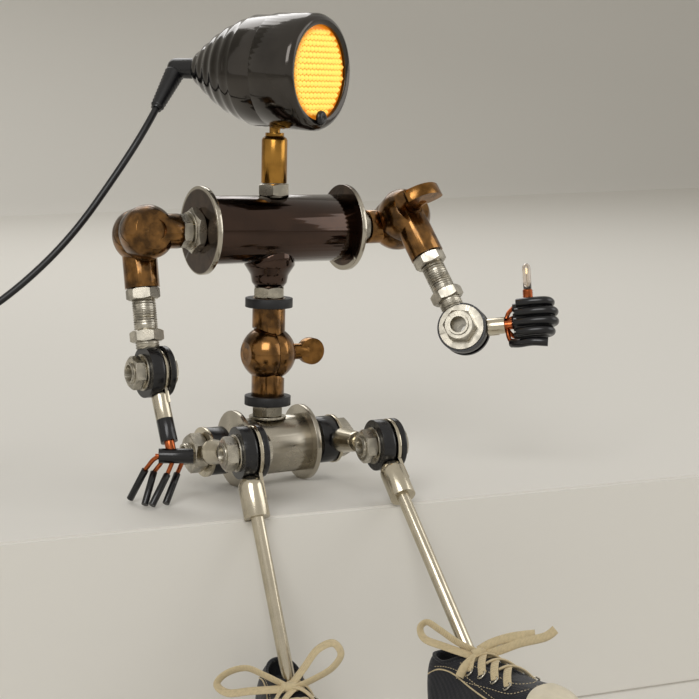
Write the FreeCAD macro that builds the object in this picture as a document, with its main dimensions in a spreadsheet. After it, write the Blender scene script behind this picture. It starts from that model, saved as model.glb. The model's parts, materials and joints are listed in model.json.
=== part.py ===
"""A robot shaped desk lamp built from pipe fittings, nuts and lamp hardware, in millimetres and degrees.

X runs to the robot's left, the robot looks along -Y and Z is up. The desk's top is the plane z = 0, the
robot sits on its front edge, and the origin is on the desk under the middle of the pelvis.
"""
import FreeCAD
import Part
import Sketcher

import math
import os
from types import SimpleNamespace

Vector = FreeCAD.Vector
Rotation = FreeCAD.Rotation
Placement = FreeCAD.Placement

SIZES = {
    # Pipe, nuts and fits shared by every joint
    "pipe_radius": 5,
    "pipe_bore_radius": 3.9,
    "nut_flats": 14,
    "nut_height": 5.5,
    "running_fit": 0.06,
    "air_gap": 0.3,
    # Pelvis and hips
    "pelvis_radius": 14,
    "pelvis_wall": 1.6,
    "pelvis_half_width": 17,
    "flange_radius": 18.5,
    "flange_thickness": 2.5,
    "hip_spacer_radius": 11.5,
    "hip_spacer_thickness": 9,
    "hip_nut_flats": 17,
    "hip_nut_height": 7,
    "hip_axle_overhang": 2.8,
    # Waist swivel
    "washer_radius": 9,
    "washer_thickness": 1,
    "spot_face_depth": 0.3,
    "ball_radius": 12.75,
    "waist_half_thickness": 12,
    "waist_stem_radius": 8,
    "waist_lower_stem": 25.25,
    "waist_upper_stem": 27,
    "lower_collar_radius": 11.25,
    "upper_collar_radius": 11.5,
    "collar_height": 4.5,
    "pin_radius": 3,
    "key_reach": 17,
    "key_radius": 6.5,
    "key_thickness": 6,
    # Chest
    "cup_height": 11.5,
    "cup_foot_radius": 7,
    "cup_mouth_radius": 12.25,
    "torso_radius": 16.25,
    "torso_wall": 1.8,
    "torso_right_reach": 38,
    "torso_left_reach": 42,
    "disc_radius": 21,
    "disc_thickness": 2.5,
    # Neck
    "neck_offset": 1.8,
    "neck_radius": 6.2,
    "neck_length": 22.5,
    "neck_dome": 2,
    "stud_collar_radius": 4.5,
    "stud_collar_height": 1.5,
    "stud_radius": 2.6,
    "stud_ball_radius": 4.5,
    "stud_length": 4.5,
    "trunnion_radius": 1.8,
    "trunnion_half_length": 5.2,
    # Head
    "head_drop": 22.5,
    "head_station": 45.5,
    "shell_radius": 26.6,
    "shell_wall": 1.6,
    "shell_length": 57,
    "bezel_radius": 27.6,
    "bezel_start": 48,
    "bezel_end": 68.5,
    "bezel_front": 71.5,
    "lens_radius": 22.3,
    "lens_thickness": 3,
    "lens_rise": 1.2,
    "lip_thickness": 1.5,
    "lens_screw_radius": 3.2,
    "jack_radius": 5.5,
    "jack_length": 6,
    "jack_overhang": 1,
    "jack_seat_depth": 1.6,
    "plug_tip_radius": 2.75,
    "socket_radius": 8,
    "socket_height": 9,
    "socket_fit": 0.1,
    "reflector_mouth_radius": 21,
    "reflector_throat_radius": 7,
    "reflector_wall": 1,
    "board_radius": 15,
    "board_thickness": 1.6,
    "chip_radius": 5,
    "chip_height": 1.2,
    # Shoulders and arms
    "right_shoulder_reach": 25.5,
    "left_shoulder_reach": 28,
    "shoulder_fastener_length": 11,
    "shoulder_nut_flats": 19,
    "shoulder_nut_height": 4.6,
    "shoulder_washer_radius": 9,
    "shoulder_thickness": 13,
    "arm_stem_radius": 8.25,
    "arm_stem_length": 24.75,
    "arm_pipe_radius": 5.25,
    "arm_nut_pitch": 20,
    "right_arm_length": 64.5,
    "left_arm_length": 66,
    "paddle_reach": 17,
    "paddle_half_length": 11,
    "paddle_half_width": 6,
    "paddle_thickness": 6,
    "screw_head_radius": 5,
    "screw_head_height": 3,
    # Elbows and knees
    "hub_radius": 12,
    "hub_thickness": 7,
    "hub_round": 2,
    "hub_flat": 11,
    "hub_washer_radius": 8.6,
    "left_elbow_washer_radius": 11,
    "hub_washer_thickness": 1,
    "lug_thickness": 1.6,
    "cap_thickness": 3,
    "far_nut_height": 3,
    "joint_pipe_overhang": 1,
    # Forearms
    "forearm_ring_radius": 10.5,
    "forearm_barrel_radius": 4,
    "forearm_barrel_offset": 2.4,
    "forearm_barrel_start": 12.8,
    "forearm_barrel_end": 24,
    "left_hand_setback": 3.5,
    # Legs
    "thigh_length": 56,
    "leg_ring_radius": 12,
    "hip_barrel_radius": 6.25,
    "hip_barrel_end_radius": 4.75,
    "hip_barrel_start": 14,
    "hip_barrel_end": 31,
    "knee_barrel_radius": 6,
    "knee_barrel_offset": 0.4,
    "knee_barrel_start": 17,
    "rod_radius": 3,
    "rod_seat": 4,
    "right_shin_length": 110,
    "left_shin_length": 123,
    "lug_neck_width": 8,
    # Shoes
    "rod_in_shoe": 8,
    "shoe_setback": 8,
    "sole_thickness": 6,
    "sole_drop": 24,
    "upper_wall": 1.8,
    "last_gap": 0.2,
    "heel_half_width": 11,
    "toe_half_width": 13.2,
    "heel_centre": 4,
    "toe_centre": 49,
    # Hands
    "wrist_sleeve_radius": 4,
    "wrist_sleeve_length": 11,
    "wrist_bit_radius": 2.4,
    "palm_radius": 3.5,
    "palm_length": 16,
    "wire_radius": 1.05,
    "finger_radius": 1.65,
    "fist_finger_radius": 2.15,
    "fist_pitch": 4.7,
    "bulb_radius": 2.1,
    "bulb_length": 13,
    "bulb_base_radius": 2.6,
    "bulb_base_length": 5,
    # Cord
    "cord_radius": 1.75,
    "plug_radius": 5,
    "plug_length": 13,
    "relief_length": 26,
    "relief_turn": 40,
    "relief_radius": 4.2,
    "relief_end_radius": 2.6,
    "coil_mean_radius": 20,
    "coil_section_radius": 5.8,
    "supply_length": 32,
    "supply_width": 16,
    "supply_height": 8,
    # Pose in the photograph
    "lean_angle": 1.3,
    "head_turn_angle": 28.2,
    "head_pitch_angle": 0.6,
    "right_swing_angle": 13.3,
    "right_elbow_angle": 15.5,
    "left_swing_angle": 34.1,
    "left_lift_angle": 9.9,
    "left_twist_angle": 45,
    "left_elbow_angle": 67.7,
    "right_hip_angle": 10.15,
    "right_thigh_yaw": 6.6,
    "right_knee_angle": 17.4,
    "left_hip_angle": 6.7,
    "left_thigh_yaw": 4.9,
    "left_knee_angle": 41.6,
    "right_shoe_angle": 40,
    "left_shoe_angle": 39,
    "right_toe_out_angle": 5,
    "left_toe_out_angle": 20,
}

OVERCUT = 1.0  # how far a hole's cutter runs past both faces
STEM_BORE = 12  # depth of the threaded hole in a swivel's stem
SHORT_STEM_BORE = 7.5
NIPPLE_GRIP = 11  # how far a threaded nipple reaches into a stem
FACE_SHARE = 0.96  # the flat face of a chamfered nut, as a share of its width across flats
ROOT_3 = 1.7320508


class Size:
    """A size worked out from the sheet: its number, and the expression that ties an object to it."""

    def __init__(self, number, text):
        self.number = float(number)
        self.text = text

    def __float__(self):
        return self.number

    def __add__(self, other):
        return Size(float(self) + float(other), f"({self.text} + {text_of(other)})")

    def __radd__(self, other):
        return self + other

    def __sub__(self, other):
        return Size(float(self) - float(other), f"({self.text} - {text_of(other)})")

    def __rsub__(self, other):
        return Size(float(other) - float(self), f"({text_of(other)} - {self.text})")

    def __mul__(self, other):
        return Size(float(self) * float(other), f"({self.text} * {text_of(other)})")

    def __rmul__(self, other):
        return self * other

    def __truediv__(self, other):
        return Size(float(self) / float(other), f"({self.text} / {text_of(other)})")

    def __neg__(self):
        return Size(-float(self), f"(0 - {self.text})")


def text_of(value):
    """The text of a size or plain number inside an expression."""
    return value.text if isinstance(value, Size) else f"({float(value):.6f})"


doc = FreeCAD.newDocument("robot_lamp")
sheet = doc.addObject("Spreadsheet::Sheet", "dims")
for row, (word, number) in enumerate(SIZES.items(), start=1):
    sheet.set(f"A{row}", word)
    sheet.set(f"B{row}", str(number))
    sheet.setAlias(f"B{row}", word)
doc.recompute()
d = SimpleNamespace(**{word: Size(number, "dims." + word) for word, number in SIZES.items()})

sub_parts = []
TURNS = {
    "x": Rotation(Vector(0, 1, 0), 90),
    "y": Rotation(Vector(1, 0, 0), -90),
    "z": Rotation(),
}


# Frames

def shift(x=0, y=0, z=0):
    return Placement(Vector(float(x), float(y), float(z)), Rotation())


def turn(axis, angle):
    directions = {"x": Vector(1, 0, 0), "y": Vector(0, 1, 0), "z": Vector(0, 0, 1)}
    return Placement(Vector(), Rotation(directions[axis], float(angle)))


# Solids

def primitive(kind, name, sizes, base=(0, 0, 0), turned_by=None):
    """A simple solid whose sizes and place are tied to the sheet."""
    item = doc.addObject(kind, name)
    item.Placement = Placement(Vector(*[float(place) for place in base]), turned_by or Rotation())
    for prop, size in sizes.items():
        if isinstance(size, Size):
            item.setExpression(prop, size.text)
        else:
            setattr(item, prop, size)
    for letter, place in zip("xyz", base):
        if isinstance(place, Size):
            item.setExpression(f"Placement.Base.{letter}", place.text)
    return item


def base_of(axis, start, centre):
    """Where a solid begins that starts this far along an axis through a centre."""
    base = list(centre)
    index = "xyz".index(axis)
    base[index] = start + base[index]
    return base


def rod(name, radius, start, end, axis="z", centre=(0, 0, 0)):
    sizes = {"Radius": radius, "Height": end - start}
    return primitive("Part::Cylinder", name, sizes, base_of(axis, start, centre), TURNS[axis])


def taper(name, first, last, start, end, axis="z", centre=(0, 0, 0)):
    sizes = {"Radius1": first, "Radius2": last, "Height": end - start}
    return primitive("Part::Cone", name, sizes, base_of(axis, start, centre), TURNS[axis])


def block(name, low, high):
    """A box between two corners."""
    sizes = {"Length": high[0] - low[0], "Width": high[1] - low[1], "Height": high[2] - low[2]}
    return primitive("Part::Box", name, sizes, low)


def ball(name, radius, centre=(0, 0, 0)):
    return primitive("Part::Sphere", name, {"Radius": radius}, centre)


def rounded(name, item, radius):
    """A turned disc with both of its rims rounded."""
    fillet = doc.addObject("Part::Fillet", name)
    fillet.Base = item
    fillet.Edges = [(edge, float(radius), float(radius)) for edge in (1, 3)]
    return fillet


def cut(name, base, *tools):
    item = doc.addObject("Part::Cut", name)
    item.Base = base
    item.Tool = tools[0] if len(tools) == 1 else fuse(name + "_tools", *tools)
    return item


def fuse(name, *items):
    item = doc.addObject("Part::MultiFuse", name)
    item.Shapes = list(items)
    return item


def common(name, *items):
    item = doc.addObject("Part::MultiCommon", name)
    item.Shapes = list(items)
    return item


def group(name, *items):
    """Separate solids that share one node."""
    item = doc.addObject("Part::Compound", name)
    item.Links = list(items)
    return item


def placed(name, item, frame):
    """One solid of a group in a frame of its own."""
    holder = group(name, item)
    holder.Placement = frame
    return holder


def ring(name, outer, bore, start, end, axis="z", centre=(0, 0, 0)):
    return cut(
        name,
        rod(name + "_outside", outer, start, end, axis, centre),
        rod(name + "_hole", bore, start - OVERCUT, end + OVERCUT, axis, centre),
    )


def nut(name, flats, bore, start, end, axis="z", centre=(0, 0, 0)):
    """A hexagon nut with both faces chamfered, bored for its thread."""
    face = flats * FACE_SHARE / 2
    wide = face + (end - start) * ROOT_3
    hexagon = primitive(
        "Part::Prism",
        name + "_hexagon",
        {"Polygon": 6, "Circumradius": flats / ROOT_3, "Height": end - start},
        base_of(axis, start, centre),
        TURNS[axis],
    )
    blank = common(
        name + "_blank",
        hexagon,
        taper(name + "_first_chamfer", face, wide, start, end, axis, centre),
        taper(name + "_last_chamfer", wide, face, start, end, axis, centre),
    )
    return cut(name, blank, rod(name + "_thread", bore, start - OVERCUT, end + OVERCUT, axis, centre))


def turned(name, outline):
    """A body turned about Z from a closed outline of (radius, height) corners, none of them negative."""
    body = doc.addObject("PartDesign::Body", name)
    sketch = body.newObject("Sketcher::SketchObject", name + "_outline")
    plane = [item for item in body.Origin.OriginFeatures if item.Role == "XZ_Plane"][0]
    sketch.AttachmentSupport = [(plane, "")]
    sketch.MapMode = "FlatFace"
    points = [Vector(float(radius), float(height), 0) for radius, height in outline]
    for index, point in enumerate(points):
        sketch.addGeometry(Part.LineSegment(point, points[(index + 1) % len(points)]), False)
    for index, corner in enumerate(outline):
        following = (index + 1) % len(points)
        sketch.addConstraint(Sketcher.Constraint("Coincident", index, 2, following, 1))
        for kind, size, axis in (("DistanceX", corner[0], -2), ("DistanceY", corner[1], -1)):
            if float(size) == 0:
                sketch.addConstraint(Sketcher.Constraint("PointOnObject", index, 1, axis))
                continue
            number = sketch.addConstraint(Sketcher.Constraint(kind, -1, 1, index, 1, float(size)))
            if isinstance(size, Size):
                sketch.setExpression(f"Constraints[{number}]", size.text)
    revolution = body.newObject("PartDesign::Revolution", name + "_turning")
    revolution.Profile = sketch
    revolution.ReferenceAxis = (sketch, ["V_Axis"])
    revolution.Angle = 360
    return body


def route(points):
    """A wire of straight runs joined by tangent arcs, each as large as its two runs allow."""
    points = [Vector(*point) for point in points]
    edges = []
    radii = []
    here = points[0]
    for before, corner, after in zip(points, points[1:], points[2:]):
        arriving = (corner - before).normalize()
        leaving = (after - corner).normalize()
        half_turn = arriving.getAngle(leaving) / 2
        reach = 0.45 * min((corner - before).Length, (after - corner).Length)
        radii.append(reach / math.tan(half_turn))
        first = corner - arriving * reach
        last = corner + leaving * reach
        inward = (leaving - arriving).normalize()
        middle = corner + inward * (radii[-1] / math.cos(half_turn) - radii[-1])
        edges.append(Part.LineSegment(here, first).toShape())
        edges.append(Part.Arc(first, middle, last).toShape())
        here = last
    edges.append(Part.LineSegment(here, points[-1]).toShape())
    return Part.Wire(edges), radii


def swept(name, points, radius, bore=None):
    """A round rod or sleeve along a route."""
    wire, _ = route(points)
    start = Vector(*points[0])
    direction = (Vector(*points[1]) - start).normalize()

    def tube(size):
        section = Part.Wire([Part.Circle(start, direction, float(size)).toShape()])
        return wire.makePipeShell([section], True, False)

    shape = tube(radius)
    if bore is not None:
        shape = shape.cut(tube(bore))
    item = doc.addObject("Part::Feature", name)
    item.Shape = shape
    return item


def node(item, label, frame=None):
    """Finish a sub-part: its label names its file, and its placement puts it in the lamp."""
    if frame is not None:
        item.Placement = frame
    item.Label = label
    sub_parts.append(item)
    return item


# Frames of the bodies, from the desk upwards

hip_height = d.flange_radius
flange_face = d.pelvis_half_width + d.flange_thickness
spacer_start = flange_face + d.nut_height
spacer_end = spacer_start + d.hip_spacer_thickness
hip_lug_start = spacer_end + d.air_gap
hip_lug_end = hip_lug_start + d.lug_thickness
hip_lug_middle = hip_lug_start + d.lug_thickness / 2
hip_nut_start = hip_lug_end + d.air_gap
hip_nut_end = hip_nut_start + d.hip_nut_height
waist_seat = d.pelvis_radius - d.spot_face_depth
waist_height = hip_height + waist_seat + d.washer_thickness + d.nut_height + d.waist_lower_stem
cup_start = d.waist_upper_stem + d.nut_height
torso_height = cup_start + d.cup_height + d.torso_radius
neck_start = torso_height + d.torso_radius + d.nut_height + d.air_gap
neck_top = neck_start + d.neck_length
stud_ball_height = neck_top + d.stud_collar_height + d.stud_length + d.stud_ball_radius / 2
knuckle_middle = (d.shoulder_thickness + d.air_gap) / 2
knuckle_end = d.air_gap / 2 + d.shoulder_thickness
shoulder_reaches = {"right": d.right_shoulder_reach, "left": d.left_shoulder_reach}

waist = shift(0, 0, waist_height) * turn("y", d.lean_angle)
chest = waist
torso = chest * shift(0, 0, torso_height)
neck = chest * shift(d.neck_offset) * turn("z", d.head_turn_angle)
stud_ball = neck * shift(0, 0, stud_ball_height)
head = stud_ball * turn("x", d.head_pitch_angle) * shift(0, 0, d.head_drop)
barrel = head * shift(0, d.head_station) * turn("x", 90)


def arm_frames(side):
    """The frames of one arm: the swinging knuckle, its hinge, the arm, the elbow and the forearm."""
    if side == "right":
        reach = -(d.torso_right_reach + d.right_shoulder_reach)
        swing = torso * shift(reach) * turn("x", -d.right_swing_angle)
        hinge = swing * shift(0, knuckle_middle) * turn("z", 90)
        lift = hinge
        arm = lift * shift(knuckle_middle)
        elbow = arm * shift(0, 0, -d.right_arm_length) * turn("z", -90)
        forearm = elbow * turn("x", -d.right_elbow_angle)
    else:
        reach = d.torso_left_reach + d.left_shoulder_reach
        swing = torso * shift(reach) * turn("x", -d.left_swing_angle)
        hinge = swing * shift(0, -knuckle_middle) * turn("z", 90)
        lift = hinge * turn("x", -d.left_lift_angle)
        arm = lift * shift(-knuckle_middle)
        elbow = arm * shift(0, 0, -d.left_arm_length) * turn("z", d.left_twist_angle - 90)
        forearm = elbow * turn("x", -d.left_elbow_angle)
    return SimpleNamespace(swing=swing, hinge=hinge, lift=lift, arm=arm, elbow=elbow, forearm=forearm)


def leg_frames(side):
    """The frames of one leg: the hip lug, the thigh rod, the knee, the shin and the shoe."""
    if side == "right":
        hip = shift(-hip_lug_middle, 0, hip_height) * turn("x", -d.right_hip_angle)
        thigh = hip * turn("z", -d.right_thigh_yaw)
        knee = thigh * shift(0, -d.thigh_length)
        shin = knee * turn("x", -d.right_knee_angle)
        ankle = shin * shift(d.knee_barrel_offset, 0, -d.right_shin_length)
        foot = ankle * turn("x", d.right_shoe_angle) * turn("z", -d.right_toe_out_angle)
    else:
        hip = shift(hip_lug_middle, 0, hip_height) * turn("x", -d.left_hip_angle)
        thigh = hip * turn("z", -d.left_thigh_yaw)
        knee = thigh * shift(0, -d.thigh_length)
        shin = knee * turn("x", -d.left_knee_angle)
        ankle = shin * shift(d.knee_barrel_offset, 0, -d.left_shin_length)
        foot = ankle * turn("x", d.left_shoe_angle) * turn("z", d.left_toe_out_angle)
    shoe = foot * shift(0, d.shoe_setback)
    return SimpleNamespace(hip=hip, thigh=thigh, knee=knee, shin=shin, ankle=ankle, shoe=shoe)


# Stations along the axle of an elbow or knee
joint_lug_start = d.hub_thickness / 2 + d.air_gap
joint_lug_end = joint_lug_start + d.lug_thickness
joint_cap_start = joint_lug_end + d.air_gap
joint_cap_end = joint_cap_start + d.cap_thickness
joint_nut_end = joint_cap_end + d.far_nut_height
joint_pipe_end = joint_nut_end + d.joint_pipe_overhang / 2
near_washer = d.hub_thickness / 2 + d.hub_washer_thickness
near_nut = near_washer + d.nut_height
near_pipe = near_nut + d.joint_pipe_overhang
pipe_hole = d.pipe_radius + d.running_fit

arms = {side: arm_frames(side) for side in ("right", "left")}
legs = {side: leg_frames(side) for side in ("right", "left")}
SIGN = {"right": -1, "left": 1}


# Pelvis

def make_pelvis():
    half = d.pelvis_half_width
    tube = cut(
        "pelvis_barrel",
        rod("pelvis_outside", d.pelvis_radius, -half, half, "x"),
        rod("pelvis_inside", d.pelvis_radius - d.pelvis_wall, -half - OVERCUT, half + OVERCUT, "x"),
    )
    frame = shift(0, 0, hip_height)
    upwards = frame.inverse() * waist
    seat_level = -d.waist_lower_stem - d.nut_height - d.washer_thickness
    seat = placed(
        "waist_seat",
        rod("waist_seat_face", d.washer_radius + d.air_gap, seat_level, seat_level + d.washer_radius),
        upwards,
    )
    hole = placed(
        "waist_hole",
        rod("waist_hole_bore", pipe_hole, seat_level - d.pelvis_radius, seat_level + d.washer_radius),
        upwards,
    )
    node(cut("pelvis", tube, seat, hole), "pelvis_tube", frame)
    flanges = [
        ring(f"{side}_flange", d.flange_radius, pipe_hole, *span, "x")
        for side, span in (("right", (-flange_face, -half)), ("left", (half, flange_face)))
    ]
    node(group("flanges", *flanges), "pelvis_flanges", frame)
    reach = hip_nut_end + d.hip_axle_overhang
    axle = [ring("hip_pipe", d.pipe_radius, d.pipe_bore_radius, -reach, reach, "x")]
    spacers = []
    for side, sign in SIGN.items():
        inner = sorted((sign * flange_face, sign * spacer_start), key=float)
        outer = sorted((sign * hip_nut_start, sign * hip_nut_end), key=float)
        spacer = sorted((sign * spacer_start, sign * spacer_end), key=float)
        axle.append(nut(f"{side}_hip_lock_nut", d.nut_flats, pipe_hole, *inner, "x"))
        axle.append(nut(f"{side}_hip_end_nut", d.hip_nut_flats, pipe_hole, *outer, "x"))
        spacers.append(ring(f"{side}_hip_spacer", d.hip_spacer_radius, pipe_hole, *spacer, "x"))
    node(group("hip_axle_parts", *axle), "hip_axle", frame)
    node(group("hip_spacer_pair", *spacers), "hip_spacers", frame)


def make_waist_fasteners():
    stem_end = -d.waist_lower_stem
    nut_end = stem_end - d.nut_height
    washer_end = nut_end - d.washer_thickness
    node(
        group(
            "waist_fastener_parts",
            nut("waist_nut", d.nut_flats, pipe_hole, nut_end, stem_end),
            ring("waist_washer", d.washer_radius, pipe_hole, washer_end, nut_end),
            ring("waist_nipple", d.pipe_radius, d.pipe_bore_radius, washer_end - 5, stem_end + NIPPLE_GRIP),
        ),
        "waist_fasteners",
        waist,
    )


# Swivels

def swivel_half(name, side, thickness, offset, stem_radius, stem_length, bore_depth):
    """Half of a swivel hinged on local X: a rounded disc beside the joint plane, with its stem down."""
    near = d.air_gap / 2
    far = near + thickness
    disc_span = sorted((side * near, side * far), key=float)
    clear_span = sorted((side * near, -side * (far + stem_radius)), key=float)
    disc = common(
        name + "_knuckle",
        rod(name + "_disc", d.ball_radius, *disc_span, "x"),
        ball(name + "_round", d.ball_radius + near * 4, (side * (near + offset / 2), 0, 0)),
    )
    stem = rod(name + "_stem", stem_radius, -stem_length, 0, "z", (side * offset, 0, 0))
    clearance = rod(name + "_clearance", d.ball_radius + d.air_gap, *clear_span, "x")
    bore_end = -stem_length + bore_depth
    bore = rod(name + "_thread", pipe_hole, -stem_length - OVERCUT, bore_end, "z", (side * offset, 0, 0))
    pin = rod(name + "_pin_hole", d.pin_radius + d.running_fit, -far * 2, far * 2, "x")
    seat_span = sorted((side * far, side * (far + stem_radius)), key=float)
    seat = rod(name + "_head_seat", d.screw_head_radius + d.air_gap, *seat_span, "x")
    return cut(name, fuse(name + "_blank", disc, stem), clearance, bore, pin, seat)


def make_waist_swivel():
    thickness = d.waist_half_thickness
    lower = swivel_half("lower_swivel", -1, thickness, 0, d.waist_stem_radius, d.waist_lower_stem, STEM_BORE)
    node(lower, "waist_swivel_lower", waist)
    upper = swivel_half("upper_swivel", 1, thickness, 0, d.waist_stem_radius, d.waist_upper_stem, STEM_BORE)
    node(upper, "waist_swivel_upper", chest * turn("x", 180))
    collar_bore = d.waist_stem_radius + d.running_fit
    low_end = -d.waist_lower_stem + d.collar_height
    low = ring("low_collar", d.lower_collar_radius, collar_bore, -d.waist_lower_stem, low_end)
    node(group("lower_collar", low), "waist_collar_lower", waist)
    high_start = d.waist_upper_stem - d.collar_height
    high = ring("high_collar", d.upper_collar_radius, collar_bore, high_start, d.waist_upper_stem)
    node(group("upper_collar", high), "waist_collar_upper", chest)
    near = -(d.air_gap / 2 + thickness)
    handle_start = -near + d.air_gap
    key = fuse(
        "waist_wing_screw",
        rod("waist_key_shaft", d.pin_radius, near, handle_start, "x"),
        rod("waist_key_neck", d.pin_radius * 1.3, handle_start, handle_start + d.key_reach / 2, "x"),
        rounded(
            "waist_key_wing",
            rod("waist_key_disc", d.key_radius, -d.key_thickness / 2, d.key_thickness / 2, "y",
                (handle_start + d.key_reach - d.key_radius, 0, 0)),
            d.hub_round,
        ),
    )
    node(key, "waist_key", chest)


# Chest

def make_chest():
    right = -d.torso_right_reach
    left = d.torso_left_reach
    tube_right = right + d.disc_thickness
    tube_left = left - d.disc_thickness
    neck_centre = (d.neck_offset, 0, 0)
    top_hole = rod("neck_hole", pipe_hole, 0, d.torso_radius * 2, "z", neck_centre)
    bottom_hole = rod("waist_pipe_hole", pipe_hole, -d.torso_radius * 2, 0)
    top_seat = rod(
        "neck_seat", d.nut_flats / 2, d.torso_radius - d.spot_face_depth, d.torso_radius * 2, "z", neck_centre
    )
    tube = cut(
        "torso_pipe",
        rod("torso_outside", d.torso_radius, tube_right, tube_left, "x"),
        rod("torso_inside", d.torso_radius - d.torso_wall, tube_right - OVERCUT, tube_left + OVERCUT, "x"),
        top_hole,
        bottom_hole,
        top_seat,
    )
    node(tube, "torso_tube", torso)
    discs = [
        ring("right_disc", d.disc_radius, pipe_hole, right, tube_right, "x"),
        ring("left_disc", d.disc_radius, pipe_hole, tube_left, left, "x"),
    ]
    node(group("discs", *discs), "torso_discs", torso)
    cup_outline = [
        (0, 0),
        (d.cup_foot_radius, 0),
        (d.cup_foot_radius + 1.5, 2),
        (d.cup_foot_radius + 2.2, d.cup_height / 2),
        (d.cup_mouth_radius, d.cup_height - 1),
        (d.cup_mouth_radius, d.cup_height + d.torso_radius / 2),
        (0, d.cup_height + d.torso_radius / 2),
    ]
    cup = cut(
        "flared_cup",
        turned("cup_body", cup_outline),
        rod("cup_saddle", d.torso_radius, -d.torso_radius * 2, d.torso_radius * 2, "x",
            (0, 0, d.cup_height + d.torso_radius)),
        rod("cup_hole", pipe_hole, -OVERCUT, d.torso_radius * 2),
    )
    node(cup, "waist_cup", chest * shift(0, 0, cup_start))
    neck_nut_start = torso_height + d.torso_radius - d.spot_face_depth
    cup_nipple = (d.waist_upper_stem - NIPPLE_GRIP, cup_start + d.cup_height + 8)
    neck_nipple = (torso_height + 8, neck_start + 15)
    fasteners = [
        nut("cup_nut", d.nut_flats, pipe_hole, d.waist_upper_stem, cup_start),
        ring("chest_nipple", d.pipe_radius, d.pipe_bore_radius, *cup_nipple),
        nut("neck_nut", d.nut_flats, pipe_hole, neck_nut_start, neck_start - d.air_gap, "z", neck_centre),
        ring("neck_nipple", d.pipe_radius, d.pipe_bore_radius, *neck_nipple, "z", neck_centre),
    ]
    height = (0, 0, torso_height)
    for name, face, sign in (("right", right, -1), ("left", left, 1)):
        wide_end = face + sign * d.shoulder_nut_height
        washer_end = wide_end + sign * d.washer_thickness
        last_end = face + sign * (d.shoulder_fastener_length - d.air_gap)
        wide = sorted((face, wide_end), key=float)
        washer = sorted((wide_end, washer_end), key=float)
        last = sorted((washer_end, last_end), key=float)
        reach = sorted((face - sign * 10, face + sign * (d.shoulder_fastener_length + 7)), key=float)
        fasteners += [
            nut(f"{name}_shoulder_wide_nut", d.shoulder_nut_flats, pipe_hole, *wide, "x", height),
            ring(f"{name}_shoulder_washer", d.shoulder_washer_radius, pipe_hole, *washer, "x", height),
            nut(f"{name}_shoulder_nut", d.nut_flats, pipe_hole, *last, "x", height),
            ring(f"{name}_shoulder_nipple", d.pipe_radius, d.pipe_bore_radius, *reach, "x", height),
        ]
    node(group("chest_fastener_parts", *fasteners), "chest_fasteners", chest)


# Neck and head

def make_neck():
    shoulder = d.neck_length - d.neck_dome
    outline = [
        (0, 0),
        (d.neck_radius, 0),
        (d.neck_radius, shoulder),
        (d.neck_radius * 0.92, shoulder + d.neck_dome * 0.5),
        (d.neck_radius * 0.7, d.neck_length),
        (0, d.neck_length),
    ]
    tube = cut(
        "neck_sleeve",
        turned("neck_body", outline),
        rod("neck_bore", pipe_hole, -OVERCUT, 17),
        rod("stud_hole", d.stud_radius + d.running_fit, 16, d.neck_length + OVERCUT),
    )
    node(tube, "neck_tube", neck * shift(0, 0, neck_start))
    collar_end = neck_top + d.stud_collar_height
    stud = fuse(
        "ball_stud",
        rod("stud_thread", d.stud_radius, neck_top - 5, neck_top),
        rod("stud_collar", d.stud_collar_radius, neck_top, collar_end),
        rod("stud_stem", d.stud_radius, collar_end, stud_ball_height),
        ball("stud_ball", d.stud_ball_radius, (0, 0, stud_ball_height)),
        rod("stud_trunnions", d.trunnion_radius, -d.trunnion_half_length, d.trunnion_half_length, "x",
            (0, 0, stud_ball_height)),
    )
    node(stud, "neck_ball_stud", neck)


# The head shell's stepped outline behind its cylinder, as (radius, distance from the back)
SHELL_STEPS = [
    (7.0, 0.0), (8.8, 2.0), (10.6, 5.8), (13.2, 8.2), (15.0, 12.4), (17.8, 15.2),
    (19.2, 19.0), (21.6, 22.2), (22.8, 26.4), (24.6, 29.6), (25.4, 33.4),
]
SHELL_FRONT = 36.0


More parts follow.
